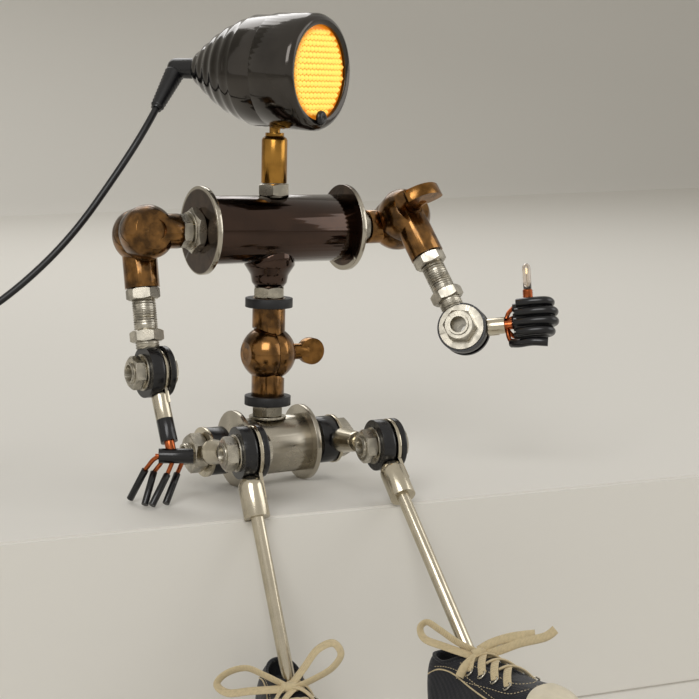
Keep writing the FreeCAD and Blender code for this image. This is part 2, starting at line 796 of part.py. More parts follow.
def make_head():
    inner = d.shell_radius - d.shell_wall
    outside = [(0, 0), *SHELL_STEPS, (d.shell_radius, SHELL_FRONT), (d.shell_radius, d.shell_length)]
    hollow = [(radius - d.shell_wall, station + d.shell_wall / 2) for radius, station in SHELL_STEPS[1:]]
    inside = [
        (0, hollow[0][1]),
        *hollow,
        (inner, SHELL_FRONT),
        (inner, d.shell_length),
    ]
    shell = turned("shell_wall", outside + list(reversed(inside)))
    jack_hole = rod("jack_hole", d.jack_radius - 1, -OVERCUT, d.jack_length)
    jack_seat = rod("jack_seat", d.jack_radius + d.running_fit, -OVERCUT, d.jack_seat_depth)
    stud_hole = rod("shell_stud_hole", d.stud_collar_radius + 0.9, -d.shell_radius * 2, 0, "y",
                    (0, 0, d.head_station))
    node(cut("shell", shell, jack_hole, jack_seat, stud_hole), "head_shell", barrel)
    lens_back = d.bezel_end - d.lens_thickness
    bezel = turned(
        "bezel_ring",
        [
            (d.shell_radius + d.running_fit, d.bezel_start),
            (d.bezel_radius, d.bezel_start),
            (d.bezel_radius, d.bezel_end),
            (d.bezel_radius - 1.2, d.bezel_front - 1),
            (d.bezel_radius - 3, d.bezel_front),
            (d.lens_radius, d.bezel_front - d.lip_thickness / 2),
            (d.lens_radius, d.bezel_front - d.lip_thickness - 1),
            (d.shell_radius - d.shell_wall, d.bezel_end),
            (d.shell_radius - d.shell_wall, lens_back),
            (d.shell_radius + d.running_fit, lens_back),
        ],
    )
    notch_radius = d.stud_collar_radius + 0.9
    notch = rod("bezel_notch", notch_radius, -d.shell_radius * 2, 0, "y", (0, 0, d.head_station))
    node(cut("bezel", bezel, notch), "head_bezel", barrel)
    lens_edge = d.shell_radius - d.shell_wall - d.running_fit
    face = d.bezel_front - d.lip_thickness - 1
    lens = turned(
        "lens_disc",
        [
            (0, lens_back),
            (lens_edge, lens_back),
            (lens_edge, d.bezel_end - d.running_fit),
            (d.lens_radius - d.running_fit, face - d.running_fit),
            (d.lens_radius - d.running_fit, face),
            (d.lens_radius * 0.5, face + d.lens_rise * 0.75),
            (0, face + d.lens_rise),
        ],
    )
    node(lens, "head_lens", barrel)
    screw_place = (0, -(d.lens_radius - 1), d.bezel_front)
    screw = common(
        "lens_screw_head",
        ball("lens_screw_round", d.lens_screw_radius, screw_place),
        rod("lens_screw_limit", d.lens_screw_radius * 2, d.bezel_front, d.bezel_front + 6, "z",
            (0, -(d.lens_radius - 1), 0)),
    )
    node(screw, "lens_screw", barrel)
    make_light_engine(lens_back)
    make_socket(inner)
    jack = cut(
        "power_jack",
        fuse(
            "jack_blank",
            rod("jack_collar", d.jack_radius, -d.jack_overhang, d.jack_seat_depth),
            rod("jack_barrel", d.jack_radius - 1 - d.running_fit, 0, d.jack_length + 5),
        ),
        rod("jack_bore", d.plug_tip_radius + d.running_fit, -OVERCUT - d.jack_overhang, d.jack_length + 3),
    )
    node(jack, "head_jack", barrel)


def make_light_engine(lens_back):
    """Reflector, light board and its chip, on a plate that fits inside the shell."""
    plate_start = d.head_station + d.socket_radius + 0.5
    board_start = plate_start + 1.5
    throat = board_start + d.board_thickness
    reflector = turned(
        "reflector",
        [
            (d.reflector_throat_radius, throat),
            (d.reflector_throat_radius + d.reflector_wall, throat),
            (d.reflector_mouth_radius + d.reflector_wall, lens_back),
            (d.reflector_mouth_radius, lens_back),
        ],
    )
    plate_radius = d.shell_radius - d.shell_wall - d.running_fit
    parts = [
        reflector,
        ring("mount_plate", plate_radius, d.chip_radius, plate_start, board_start),
        group("board", rod("board_disc", d.board_radius, board_start, throat)),
        group("chip", rod("chip_disc", d.chip_radius, throat, throat + d.chip_height)),
    ]
    node(group("light_engine_parts", *parts), "light_engine", barrel)


def make_socket(inner):
    """The block fixed inside the shell that the neck's ball turns in."""
    low = -inner - OVERCUT
    top = -d.head_drop + d.socket_height - 2
    block_body = common(
        "socket_block",
        rod("socket_round", d.socket_radius, low, top),
        rod("socket_seat", inner - d.running_fit, -d.socket_radius * 2, d.socket_radius * 2, "y"),
    )
    socket = cut(
        "ball_socket",
        block_body,
        ball("socket_cavity", d.stud_ball_radius + d.socket_fit, (0, 0, -d.head_drop)),
        rod("socket_trunnion_hole", d.trunnion_radius + d.running_fit, -d.socket_radius, d.socket_radius, "x",
            (0, 0, -d.head_drop)),
        taper("socket_mouth", d.stud_collar_radius + 1, d.stud_radius + 1.2, -inner - 2, -d.head_drop - 2),
    )
    node(socket, "neck_socket", head)


# Arms

def stack(side, part):
    """The axle of an elbow or knee: pipe, two nuts and a washer, with the hub and its far cap."""
    name = f"{side}_{part}"
    hub = cut(
        name + "_round_hub",
        rounded(
            name + "_hub_blank",
            rod(name + "_hub_disc", d.hub_radius, -d.hub_thickness / 2, d.hub_thickness / 2, "x"),
            d.hub_round,
        ),
        rod(name + "_hub_bore", pipe_hole, -d.hub_thickness, d.hub_thickness, "x"),
    )
    cap = cut(
        name + "_cap",
        rounded(
            name + "_cap_blank",
            rod(name + "_cap_disc", d.hub_radius, joint_cap_start, joint_cap_end, "x"),
            d.hub_round / 2,
        ),
        rod(name + "_cap_bore", pipe_hole, joint_cap_start - OVERCUT, joint_cap_end + OVERCUT, "x"),
    )
    washer_radius = d.left_elbow_washer_radius if name == "left_elbow" else d.hub_washer_radius
    axle = group(
        name + "_axle_parts",
        ring(name + "_pipe", d.pipe_radius, d.pipe_bore_radius, -near_pipe, joint_pipe_end, "x"),
        nut(name + "_near_nut", d.nut_flats, pipe_hole, -near_nut, -near_washer, "x"),
        nut(name + "_far_nut", d.nut_flats, pipe_hole, joint_cap_end, joint_nut_end, "x"),
        ring(name + "_washer", washer_radius, pipe_hole, -near_washer, -d.hub_thickness / 2, "x"),
    )
    return hub, cap, axle


def lug(name, ring_radius, start, end, radius, end_radius, barrel_offset, ring_start, along):
    """A cable lug: a flat ring on local X and a barrel that leaves it along local -Y or -Z."""
    ring_end = ring_start + d.lug_thickness
    half = d.lug_neck_width / 2
    centre = (barrel_offset, 0, 0)
    reach = start + radius
    if along == "z":
        neck = block(name + "_neck", (ring_start, -half, -reach), (ring_end, half, -ring_radius / 2))
    else:
        neck = block(name + "_neck", (ring_start, -reach, -half), (ring_end, -ring_radius / 2, half))
    return cut(
        name + "_lug",
        fuse(
            name + "_lug_blank",
            rod(name + "_ring", ring_radius, ring_start, ring_end, "x"),
            neck,
            taper(name + "_barrel", end_radius, radius, -end, -start, along, centre),
            ball(name + "_barrel_root", radius, (barrel_offset, 0, -start) if along == "z"
                 else (barrel_offset, -start, 0)),
        ),
        rod(name + "_lug_bore", d.pipe_radius + d.running_fit, ring_start - 2, ring_end + 2, "x"),
        *lug_relief(name, ring_radius, ring_start, ring_end, barrel_offset, radius, along),
    )


def lug_relief(name, ring_radius, ring_start, ring_end, barrel_offset, radius, along):
    """Keeps the rounded root of a lug's barrel clear of the round piece beside the ring."""
    beside = rod(name + "_clear_hub", d.hub_radius + d.air_gap, ring_start - radius * 3, ring_start, "x")
    outside = rod(name + "_clear_cap", d.hub_radius + d.air_gap, ring_end, ring_end + radius * 3, "x")
    return beside, outside


barrel_ends = {"right": d.forearm_barrel_end, "left": d.forearm_barrel_end - d.left_hand_setback}


def make_arm(side):
    sign = SIGN[side]
    frames = arms[side]
    length = d.right_arm_length if side == "right" else d.left_arm_length
    thickness = d.shoulder_thickness
    inner_stem = shoulder_reaches[side] - d.shoulder_fastener_length
    stem = (knuckle_middle, d.arm_stem_radius)
    inner = swivel_half(f"{side}_inner_knuckle", sign, thickness, *stem, inner_stem, SHORT_STEM_BORE)
    node(inner, f"{side}_shoulder_inner", frames.hinge * turn("x", 90 * sign))
    outer = swivel_half(f"{side}_outer_knuckle", -sign, thickness, *stem, d.arm_stem_length, STEM_BORE)
    node(outer, f"{side}_shoulder_outer", frames.lift)
    make_shoulder_pin(side, frames)
    first_nut = d.arm_stem_length + d.nut_height
    last_nut = first_nut + d.arm_nut_pitch - d.nut_height
    pipe_end = length - d.hub_flat
    hole = d.arm_pipe_radius + d.running_fit
    root = -d.arm_stem_length
    pipe = group(
        f"{side}_arm_pipe_parts",
        ring(f"{side}_arm_threaded_pipe", d.arm_pipe_radius, d.pipe_bore_radius, -pipe_end, root),
        ring(f"{side}_arm_pipe_root", d.pipe_radius, d.pipe_bore_radius, root, root + NIPPLE_GRIP),
        nut(f"{side}_upper_arm_nut", d.nut_flats, hole, -first_nut, -d.arm_stem_length),
        nut(f"{side}_lower_arm_nut", d.nut_flats, hole, -last_nut - d.nut_height, -last_nut),
    )
    node(pipe, f"{side}_arm_pipe", frames.arm)
    hub, cap, axle = stack(side, "elbow")
    hub_name = f"{side}_elbow_hub"
    flat = block(
        f"{side}_elbow_flat",
        (-d.hub_radius, -d.hub_radius, d.hub_flat),
        (d.hub_radius, d.hub_radius, d.hub_radius * 2),
    )
    node(group(f"{side}_elbow_parts", cut(f"{side}_elbow_body", hub, flat), cap), hub_name, frames.elbow)
    node(axle, f"{side}_elbow_axle", frames.elbow)
    forearm = lug(
        f"{side}_forearm", d.forearm_ring_radius, d.forearm_barrel_start, barrel_ends[side],
        d.forearm_barrel_radius, d.forearm_barrel_radius, d.forearm_barrel_offset, joint_lug_start, "z",
    )
    node(forearm, f"{side}_forearm_lug", frames.forearm)


def paddle(centre):
    """A pointed oval plate, the overlap of two large discs, with its ends rounded off."""
    bow = (d.paddle_half_length * d.paddle_half_length / d.paddle_half_width + d.paddle_half_width) / 2
    half = d.paddle_thickness / 2
    step = bow - d.paddle_half_width
    return common(
        "left_key_paddle",
        rod("paddle_front", bow, -half, half, "z", (centre[0] + step, 0, 0)),
        rod("paddle_back", bow, -half, half, "z", (centre[0] - step, 0, 0)),
        rod("paddle_ends", d.paddle_half_length * 0.95, -half, half, "z", centre),
    )


def make_shoulder_pin(side, frames):
    """The screw through both knuckles: a plain head on the right, a paddle key on the left."""
    sign = SIGN[side]
    far = sign * knuckle_end
    near = -sign * knuckle_end
    span = sorted((far, near - sign * d.air_gap), key=float)
    shaft = rod(f"{side}_shoulder_shaft", d.pin_radius, *span, "x")
    if side == "right":
        head_near = near - sign * d.air_gap
        head_span = sorted((head_near, head_near - sign * d.screw_head_height), key=float)
        top = rod("right_screw_head", d.screw_head_radius, *head_span, "x")
        node(fuse("right_screw", shaft, top), "right_shoulder_screw", frames.lift)
        return
    start = near - sign * d.air_gap
    neck_end = start - sign * d.paddle_reach / 2
    neck_span = sorted((start, neck_end), key=float)
    key = fuse(
        "left_key",
        shaft,
        rod("left_key_neck", d.pin_radius * 1.3, *neck_span, "x"),
        paddle((start - sign * (d.paddle_reach - d.paddle_half_width), 0, 0)),
    )
    node(key, "left_shoulder_key", frames.lift)


# Hands. The routes are chosen by hand in the frame of the forearm, whose barrel runs down -Z.

def wrist_sleeve(side):
    start = d.forearm_barrel_end
    end = start + d.wrist_sleeve_length
    offset = (d.forearm_barrel_offset, 0, 0)
    return start, end, offset


def make_right_hand():
    start, end, offset = wrist_sleeve("right")
    frame = arms["right"].forearm
    palm = Placement(Vector(3.9, -0.6, -42.2), Rotation(Vector(0, 0, 1), Vector(0.92, -0.34, -0.19)))
    half = d.palm_length / 2
    bit_hole = d.wrist_bit_radius + d.running_fit
    fingers = {
        "first": ((-3.3, 2.1, -40.8), (-5.6, 4.4, -41.6), (-8.2, 9.25, -44.7), (-12.6, 22.7, -54.1)),
        "second": ((-0.8, 1.0, -41.3), (-2.2, 3.6, -43.8), (-4.2, 9.2, -46.2), (-11.8, 9.5, -61.2)),
        "third": ((3.4, -0.4, -42.1), (1.9, 1.6, -45.4), (0.1, 4.8, -49.3), (-9.8, 6.3, -62.8)),
        "fourth": ((7.4, -1.9, -42.9), (7.2, 1.4, -45.2), (6.0, 6.4, -48.8), (-2.5, 6.8, -62.4)),
    }
    wires = [
        group(
            "right_wrist_bit",
            rod("right_tinned_end", d.wrist_bit_radius, -end - 4.5, -start, "z", offset),
        ),
        placed("right_palm_core", rod("right_palm_wire", d.wire_radius, -half - 1.5, half), palm),
    ]
    sleeves = [
        ring("right_wrist_sleeve", d.wrist_sleeve_radius, bit_hole, -end, -start, "z", offset),
        placed(
            "right_palm_sleeve",
            ring("right_palm_tube", d.palm_radius, d.palm_radius * 0.62, -half, half),
            palm,
        ),
    ]
    for name, points in fingers.items():
        wires.append(swept(f"right_{name}_wire", points[:3], d.wire_radius))
        sleeves.append(swept(f"right_{name}_sleeve", points[2:], d.finger_radius))
    node(group("right_hand_wire_parts", *wires), "right_hand_wires", frame)
    node(group("right_hand_sleeve_parts", *sleeves), "right_hand_sleeves", frame)


def make_left_hand():
    """A closed fist of four curled fingers and a thumb, stacked along local Y, round a small bulb."""
    start, _, offset = wrist_sleeve("left")
    frame = arms["left"].forearm * shift(0, 0, d.left_hand_setback)
    middle = float(offset[0])
    tinned = rod("left_tinned_end", d.wrist_bit_radius, -start - 3.5, -start + 6, "z", offset)
    wires = [group("left_wrist_bit", tinned)]
    sleeves = []
    curls = (("first", -1.9, 41.0), ("second", -0.9, 42.5), ("third", 0.1, 42.5), ("fourth", 1.1, 40.5))
    for name, step, reach in curls:
        level = step * float(d.fist_pitch) + 0.4
        points = (
            (middle + 2.9, level, -27.5),
            (middle + 3.6, level, -reach),
            (middle + 0.6, level, -reach - 6.0),
            (middle - 6.4, level, -reach - 5.4),
            (middle - 8.2, level, -reach + 1.5),
            (middle - 7.4, level, -29.5 - abs(step)),
        )
        sleeves.append(swept(f"left_{name}_sleeve", points, d.fist_finger_radius))
        root = (middle + 0.4 * step, level * 0.3, -24.6)
        knuckle = (root[0] + 1.2, level * 0.7, -25.6)
        wires.append(swept(f"left_{name}_wire", (root, knuckle, points[0]), d.wire_radius))
    thumb = (
        (middle - 2.0, 9.6, -27.0),
        (middle - 5.0, 10.6, -31.0),
        (middle - 6.6, 10.4, -37.5),
        (middle - 5.4, 11.4, -45.0),
    )
    thumb_root = ((middle, 1.8, -24.6), (middle - 0.4, 6.6, -25.2), thumb[0])
    sleeves.append(swept("left_thumb_sleeve", thumb, d.fist_finger_radius))
    wires.append(swept("left_thumb_wire", thumb_root, d.wire_radius))
    node(group("left_hand_wire_parts", *wires), "left_hand_wires", frame)
    node(group("left_hand_sleeve_parts", *sleeves), "left_hand_sleeves", frame)
    bulb_frame = frame * shift(middle - 2.3, -10.5, -36.2) * turn("x", 93) * turn("y", -14)
    base_end = d.bulb_base_length
    straight = base_end + d.bulb_length - d.bulb_radius
    bulb = group(
        "bulb_parts",
        group("bulb_base", rod("bulb_cap", d.bulb_base_radius, 0, base_end)),
        cut(
            "bulb_envelope",
            fuse(
                "bulb_outside",
                rod("bulb_glass", d.bulb_radius, base_end, straight),
                ball("bulb_tip", d.bulb_radius, (0, 0, straight)),
            ),
            rod("bulb_hollow", d.bulb_radius * 0.8, base_end, straight),
        ),
    )
    node(bulb, "left_hand_bulb", bulb_frame)


# Legs

def make_leg(side):
    frames = legs[side]
    yaw = d.right_thigh_yaw if side == "right" else d.left_thigh_yaw
    half_plate = d.lug_thickness / 2
    rod_end = d.thigh_length - d.hub_radius + d.rod_seat
    plate = cut(
        f"{side}_hip_plate",
        fuse(
            f"{side}_hip_plate_blank",
            rod(f"{side}_hip_ring", d.leg_ring_radius, -half_plate, half_plate, "x"),
            block(
                f"{side}_hip_neck",
                (-half_plate, -(d.hip_barrel_start + d.hip_barrel_radius), -d.lug_neck_width / 2),
                (half_plate, -d.leg_ring_radius / 2, d.lug_neck_width / 2),
            ),
        ),
        rod(f"{side}_hip_bore", pipe_hole, -2, 2, "x"),
    )
    thigh_solid = fuse(
        f"{side}_thigh_solid",
        taper(
            f"{side}_hip_barrel", d.hip_barrel_radius, d.hip_barrel_end_radius,
            d.hip_barrel_start, d.hip_barrel_end, "y",
        ),
        rod(f"{side}_thigh_rod", d.rod_radius, d.hip_barrel_start, rod_end, "y"),
    )
    thigh = placed(f"{side}_thigh", thigh_solid, turn("z", 180 - yaw))
    node(fuse(f"{side}_hip_lug_solid", plate, thigh), f"{side}_hip_lug", frames.hip)
    hub, cap, axle = stack(side, "knee")
    seat = rod(f"{side}_rod_seat", d.rod_radius + 0.02, d.hub_radius - d.rod_seat, d.hub_radius * 2, "y")
    knee_parts = group(f"{side}_knee_parts", cut(f"{side}_knee_body", hub, seat), cap)
    node(knee_parts, f"{side}_knee_hub", frames.knee)
    node(axle, f"{side}_knee_axle", frames.knee)
    length = d.right_shin_length if side == "right" else d.left_shin_length
    shin_lug = lug(
        f"{side}_shin", d.leg_ring_radius, d.knee_barrel_start, d.hip_barrel_end, d.knee_barrel_radius,
        d.knee_barrel_radius, d.knee_barrel_offset, joint_lug_start, "z",
    )
    rod_line = (d.knee_barrel_offset, 0, 0)
    rod_bottom = -length - d.rod_in_shoe
    shin_rod = rod(f"{side}_shin_rod", d.rod_radius, rod_bottom, -d.knee_barrel_start, "z", rod_line)
    node(fuse(f"{side}_shin_solid", shin_lug, shin_rod), f"{side}_shin", frames.shin)


# Shoes. The frame's origin is where the leg rod meets the laces, the toe points along -Y.

def shoe_loft(inset, floor):
    """The rounded body of a shoe, smaller by an inset on every side and above a floor."""
    heel = float(d.heel_half_width) - inset
    toe = float(d.toe_half_width) - inset
    stations = (
        (15.0 - inset, heel * 0.55, 3.0 - inset),
        (12.5 - inset, heel * 0.9, 4.5 - inset),
        (4.0, heel, 5.0 - inset),
        (-8.0, heel + 0.8, 4.0 - inset),
        (-22.0, toe, 0.0 - inset),
        (-36.0, toe, -5.0 - inset),
        (-49.0, toe * 0.97, -7.5 - inset),
        (-58.0 + inset, toe * 0.72, -10.5 - inset),
        (-62.0 + inset, toe * 0.3, -14.5 - inset),
    )
    sections = []
    for station, half_width, top in stations:
        side_height = floor + (top - floor) * 0.45
        points = [
            Vector(half_width * 0.93, station, floor),
            Vector(half_width, station, side_height),
            Vector(half_width * 0.62, station, top - (top - floor) * 0.12),
            Vector(0, station, top),
            Vector(-half_width * 0.62, station, top - (top - floor) * 0.12),
            Vector(-half_width, station, side_height),
            Vector(-half_width * 0.93, station, floor),
        ]
        curve = Part.BSplineCurve()
        curve.interpolate(points)
        flat = Part.LineSegment(points[-1], points[0])
        sections.append(Part.Wire([curve.toShape(), flat.toShape()]))
    return Part.makeLoft(sections, True, False)


def feature(name, shape):
    item = doc.addObject("Part::Feature", name)
    item.Shape = shape
    return item


def sole_slab(name, grow, low, high):
    """A flat sole with a round toe and a round heel."""
    toe = float(d.toe_half_width) + grow
    heel = float(d.heel_half_width) + grow
    toe_y = -float(d.toe_centre)
    heel_y = float(d.heel_centre)
    tilt = math.asin((toe - heel) / (heel_y - toe_y))
    across, forward = math.cos(tilt), math.sin(tilt)
    toe_right = Vector(toe * across, toe_y + toe * forward, low)
    heel_right = Vector(heel * across, heel_y + heel * forward, low)
    toe_left = Vector(-toe_right.x, toe_right.y, low)
    heel_left = Vector(-heel_right.x, heel_right.y, low)
    edges = [
        Part.LineSegment(toe_right, heel_right).toShape(),
        Part.Arc(heel_right, Vector(0, heel_y + heel, low), heel_left).toShape(),
        Part.LineSegment(heel_left, toe_left).toShape(),
        Part.Arc(toe_left, Vector(0, toe_y - toe, low), toe_right).toShape(),
    ]
    return feature(name, Part.Face(Part.Wire(edges)).extrude(Vector(0, 0, high - low)))


def make_shoe(side):
    frame = legs[side].shoe
    floor = -float(d.sole_drop) + float(d.sole_thickness)
    wall = float(d.upper_wall)
    mouth = placed(
        f"{side}_mouth",
        rod(f"{side}_mouth_round", d.heel_half_width * 0.62, 0, 20),
        Placement(Vector(0, 3.5, -4.5), Rotation()),
    )
    outside = feature(f"{side}_upper_outside", shoe_loft(0.0, floor))
    inside = feature(f"{side}_upper_inside", shoe_loft(wall, floor - 0.5))
    canvas = cut(f"{side}_upper_canvas", outside, inside)
    collar = cut(f"{side}_upper_collar", canvas, mouth)
    upper = cut(f"{side}_upper", collar, leg_hole(side, "wide", d.rod_radius + d.last_gap))
    node(upper, f"{side}_shoe_upper", frame)
    last_body = feature(f"{side}_last", shoe_loft(wall + float(d.last_gap), floor - 0.5))
    last_limit = block(f"{side}_last_limit", (-30, -80, -40), (30, 40, -2))
    slab = sole_slab(f"{side}_slab", 0.9, -float(d.sole_drop), floor)
    sole = cut(
        f"{side}_sole",
        fuse(f"{side}_sole_blank", slab, common(f"{side}_last_body", last_body, last_limit)),
        leg_hole(side, "tight", d.rod_radius + 0.02),
    )
    node(sole, f"{side}_shoe_sole", frame)


def leg_hole(side, kind, radius):
    """The hole for the leg rod, which enters along the shin's own direction."""
    bore = rod(f"{side}_{kind}_leg_bore", radius, -d.rod_in_shoe, 40)
    return placed(f"{side}_{kind}_leg_hole", bore, legs[side].shoe.inverse() * legs[side].ankle)


LACE_RADIUS = 1.5
LACES = {
    "right": {
        "outer_loop": [
            (-3.3, -10.7, 3.5), (-11.9, -4.8, 7.6), (-18.7, 0.4, 8.9), (-26.2, 3.9, 5.3),
            (-30.6, 3.6, 0.5), (-26.7, -1.0, -1.8), (-17.2, -5.6, 0.7), (-4.5, -11.7, 2.7),
        ],
        "inner_loop": [
            (-0.8, -11.2, 4.5), (4.8, -9.2, 11.7), (10.9, -7.4, 18.9), (17.9, -7.7, 21.8),
            (21.0, -10.5, 17.5), (16.7, -12.2, 12.0), (8.4, -13.1, 8.0), (-0.4, -12.9, 3.4),
        ],
        "knot": [(-5.0, -10.8, 3.3), (-2.7, -13.0, 3.8), (1.2, -12.2, 3.8)],
    },
    "left": {
        "inner_loop": [
            (-1.0, -10.6, 5.0), (-6.5, -4.0, 11.5), (-9.7, 2.9, 17.6), (-11.5, 7.5, 20.8),
            (-13.5, 10.8, 17.4), (-13.0, 8.9, 11.3), (-10.0, 1.2, 7.9), (-3.5, -10.2, 3.8),
        ],
        "upper_end": [(0.4, -10.8, 5.8), (4.4, -15.3, 9.3), (9.9, -22.3, 11.4), (17.1, -29.4, 11.9)],
        "lower_end": [(0.7, -11.2, 3.0), (5.9, -18.3, 6.1), (11.5, -25.2, 8.7), (18.6, -33.6, 10.6)],
        "short_end": [(-1.0, -11.4, 3.4), (-5.4, -10.0, 1.4), (-9.0, -6.4, -1.6)],
        "knot": [(-3.6, -10.6, 5.2), (-1.3, -12.0, 4.7), (2.3, -11.9, 3.3)],
    },
}
CROSSINGS = (-11.0, -17.5, -24.0)


def make_laces(side):
    """The bow and the crossings on the throat of a shoe."""
    parts = [swept(f"{side}_{name}", points, LACE_RADIUS) for name, points in LACES[side].items()]
    for index, station in enumerate(CROSSINGS):
        top = 6.4 - 0.36 * (abs(station) - 8.0)
        points = [
            (-8.5, station, top - 3.2),
            (-4, station - 0.6, top - 0.6),
            (4, station - 1.4, top - 0.6),
            (8.5, station - 2, top - 3.2),
        ]
        parts.append(swept(f"{side}_crossing_{index}", points, LACE_RADIUS))
    node(group(f"{side}_lace_parts", *parts), f"{side}_shoe_lace", legs[side].shoe)


# Cord. Its route outside the photograph's view ends in a coil on the desk behind the robot's right side.

CORD_ROUTE = [
    (-61.0, 40.0, 150.0),
    (-84.0, 41.0, 121.0),
    (-110.0, 43.0, 98.0),
    (-134.0, 45.0, 83.0),
    (-158.0, 42.0, 64.0),
    (-178.0, 40.0, 42.0),
    (-188.0, 46.0, 22.0),
    (-190.0, 60.0, 12.0),
    (-190.0, 74.0, 10.0),
]
COIL_CENTRE = (-170.0, 72.0)


def make_cord():
    tip = rod("plug_tip", d.plug_tip_radius, -d.plug_length / 2, d.jack_length)
    back = rod("plug_body", d.plug_radius, -d.plug_length, -d.jack_overhang - d.running_fit)
    corner = ball("plug_corner", d.plug_radius, (0, 0, -d.plug_length))
    corner_frame = barrel * shift(0, 0, -d.plug_length) * turn("z", -d.relief_turn) * turn("x", 90)
    relief = placed(
        "plug_relief",
        taper("plug_relief_cone", d.relief_radius, d.relief_end_radius, 0, d.relief_length),
        barrel.inverse() * corner_frame,
    )
    node(fuse("plug", tip, back, corner, relief), "dc_plug", barrel)
    start = corner_frame.multVec(Vector(0, 0, d.relief_length.number))
    lead = corner_frame.multVec(Vector(0, 0, d.relief_length.number * 1.5))
    print("cord starts at", start, "through", lead)
    radius = float(d.cord_radius)
    points = [tuple(start), tuple(lead), *CORD_ROUTE]
    wire, radii = route(points)
    print("cord length to the coil", round(wire.Length), "bend radii", [round(bend) for bend in radii])
    tube = swept("cord_run", points, d.cord_radius)
    error = tube.Shape.Volume / (math.pi * radius**2 * wire.Length) - 1
    print("cord volume error", round(error, 5))
    node(tube, "cord_tube")
    coil = primitive(
        "Part::Torus",
        "coil_ring",
        {"Radius1": d.coil_mean_radius, "Radius2": d.coil_section_radius},
        (*COIL_CENTRE, d.coil_section_radius),
    )
    node(group("coil_body", coil), "cord_coil")
    half = d.supply_width / 2
    back_y = COIL_CENTRE[1] + d.coil_mean_radius + d.coil_section_radius
    body = block(
        "supply_body",
        (COIL_CENTRE[0] - half, back_y, 0),
        (COIL_CENTRE[0] + half, back_y + d.supply_length, d.supply_height),
    )
    contact = block(
        "supply_contact",
        (COIL_CENTRE[0] - d.supply_width * 0.375, back_y + d.supply_length, d.supply_height * 0.22),
        (COIL_CENTRE[0] + d.supply_width * 0.375, back_y + d.supply_length + 12, d.supply_height * 0.78),
    )
    node(fuse("supply", body, contact), "supply_plug")


def main():
    make_pelvis()
    make_waist_fasteners()
    make_waist_swivel()
    make_chest()
    make_neck()
    make_head()
    for side in ("right", "left"):
        make_arm(side)
        make_leg(side)
        make_shoe(side)
        make_laces(side)
    make_right_hand()
    make_left_hand()
    make_cord()
    doc.recompute()
    faults = [item.Name for item in doc.Objects if {"Invalid", "Error"} & set(item.State)]
    for item in sub_parts:
        if item.Shape.isNull() or not item.Shape.isValid() or not item.Shape.Solids:
            faults.append(item.Label)
    if faults:
        raise RuntimeError(f"these objects failed: {sorted(set(faults))}")
    os.makedirs("parts", exist_ok=True)
    for item in sub_parts:
        item.Shape.exportStep(f"parts/{item.Label}.step")
    print(len(sub_parts), "sub-parts")


main()
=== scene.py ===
"""A robot shaped desk lamp made of pipe fittings: the finishes, soft parts and studio stage."""
import json
import math

import bmesh
import bpy
from mathutils import Matrix, Vector


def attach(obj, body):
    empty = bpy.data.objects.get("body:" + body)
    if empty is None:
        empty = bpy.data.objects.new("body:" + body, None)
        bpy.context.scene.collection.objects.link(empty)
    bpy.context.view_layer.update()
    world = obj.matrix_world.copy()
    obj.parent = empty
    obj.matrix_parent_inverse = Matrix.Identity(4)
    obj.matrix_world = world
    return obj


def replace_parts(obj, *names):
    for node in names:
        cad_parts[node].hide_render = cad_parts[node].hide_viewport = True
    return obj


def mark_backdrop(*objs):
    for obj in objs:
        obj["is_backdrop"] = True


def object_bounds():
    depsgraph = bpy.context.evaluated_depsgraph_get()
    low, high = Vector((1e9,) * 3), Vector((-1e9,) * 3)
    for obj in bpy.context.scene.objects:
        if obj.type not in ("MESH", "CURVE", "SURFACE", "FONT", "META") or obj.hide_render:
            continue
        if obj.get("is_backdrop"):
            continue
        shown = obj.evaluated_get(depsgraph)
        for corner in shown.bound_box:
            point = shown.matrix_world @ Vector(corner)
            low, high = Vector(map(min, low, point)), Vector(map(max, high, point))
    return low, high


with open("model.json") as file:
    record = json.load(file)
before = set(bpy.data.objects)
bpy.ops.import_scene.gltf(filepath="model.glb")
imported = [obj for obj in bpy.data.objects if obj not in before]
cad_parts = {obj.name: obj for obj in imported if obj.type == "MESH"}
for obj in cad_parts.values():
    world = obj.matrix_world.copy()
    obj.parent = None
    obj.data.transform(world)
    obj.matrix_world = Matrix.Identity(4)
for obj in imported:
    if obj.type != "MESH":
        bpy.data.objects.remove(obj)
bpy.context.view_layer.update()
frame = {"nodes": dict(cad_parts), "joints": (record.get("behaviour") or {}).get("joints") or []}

bl_info = {
    "name": "Pipe robot desk lamp",
    "version": (1, 0, 0),
    "blender": (4, 5, 0),
    "location": "3D View > Sidebar > Lamp",
    "description": "Dresses a desk lamp built from pipe fittings",
    "category": "Add Mesh",
}

JOINTS = {joint["name"]: joint for joint in frame["joints"]}
SIDES = ("right", "left")
MM = 0.001


# Frames of the head, the fist bulb and the shoes, from the frame's joints

def frame_of(place, *turns):
    """A frame at a place in millimetres, turned about its own axes by these angles in order."""
    made = Matrix.Translation(Vector(place) * MM)
    for axis, angle in turns:
        made = made @ Matrix.Rotation(math.radians(angle), 4, axis)
    return made


def joint_place(name):
    """A joint's place in millimetres."""
    return Vector(JOINTS[name]["pos_m"]) / MM


def joint_axis(name):
    """The direction that a joint turns about."""
    return Vector(JOINTS[name]["axis"])


LEAN = 1.3  # degrees that the body leans to its right
HEAD_TURN = 28.2
HEAD_PITCH = 0.6
SHELL_BACK = 45.5  # how far the shell's back end lies behind the neck, in millimetres
SHELL_RISE = 22.5  # how far the shell's middle line lies above the head's tilt
PLUG_REACH = 13.0  # how far the corner of the cord's plug lies behind the shell
PLUG_TURN = -40.0
TORSO_HEIGHT = 0.12457  # the torso's middle line above the seat, in metres

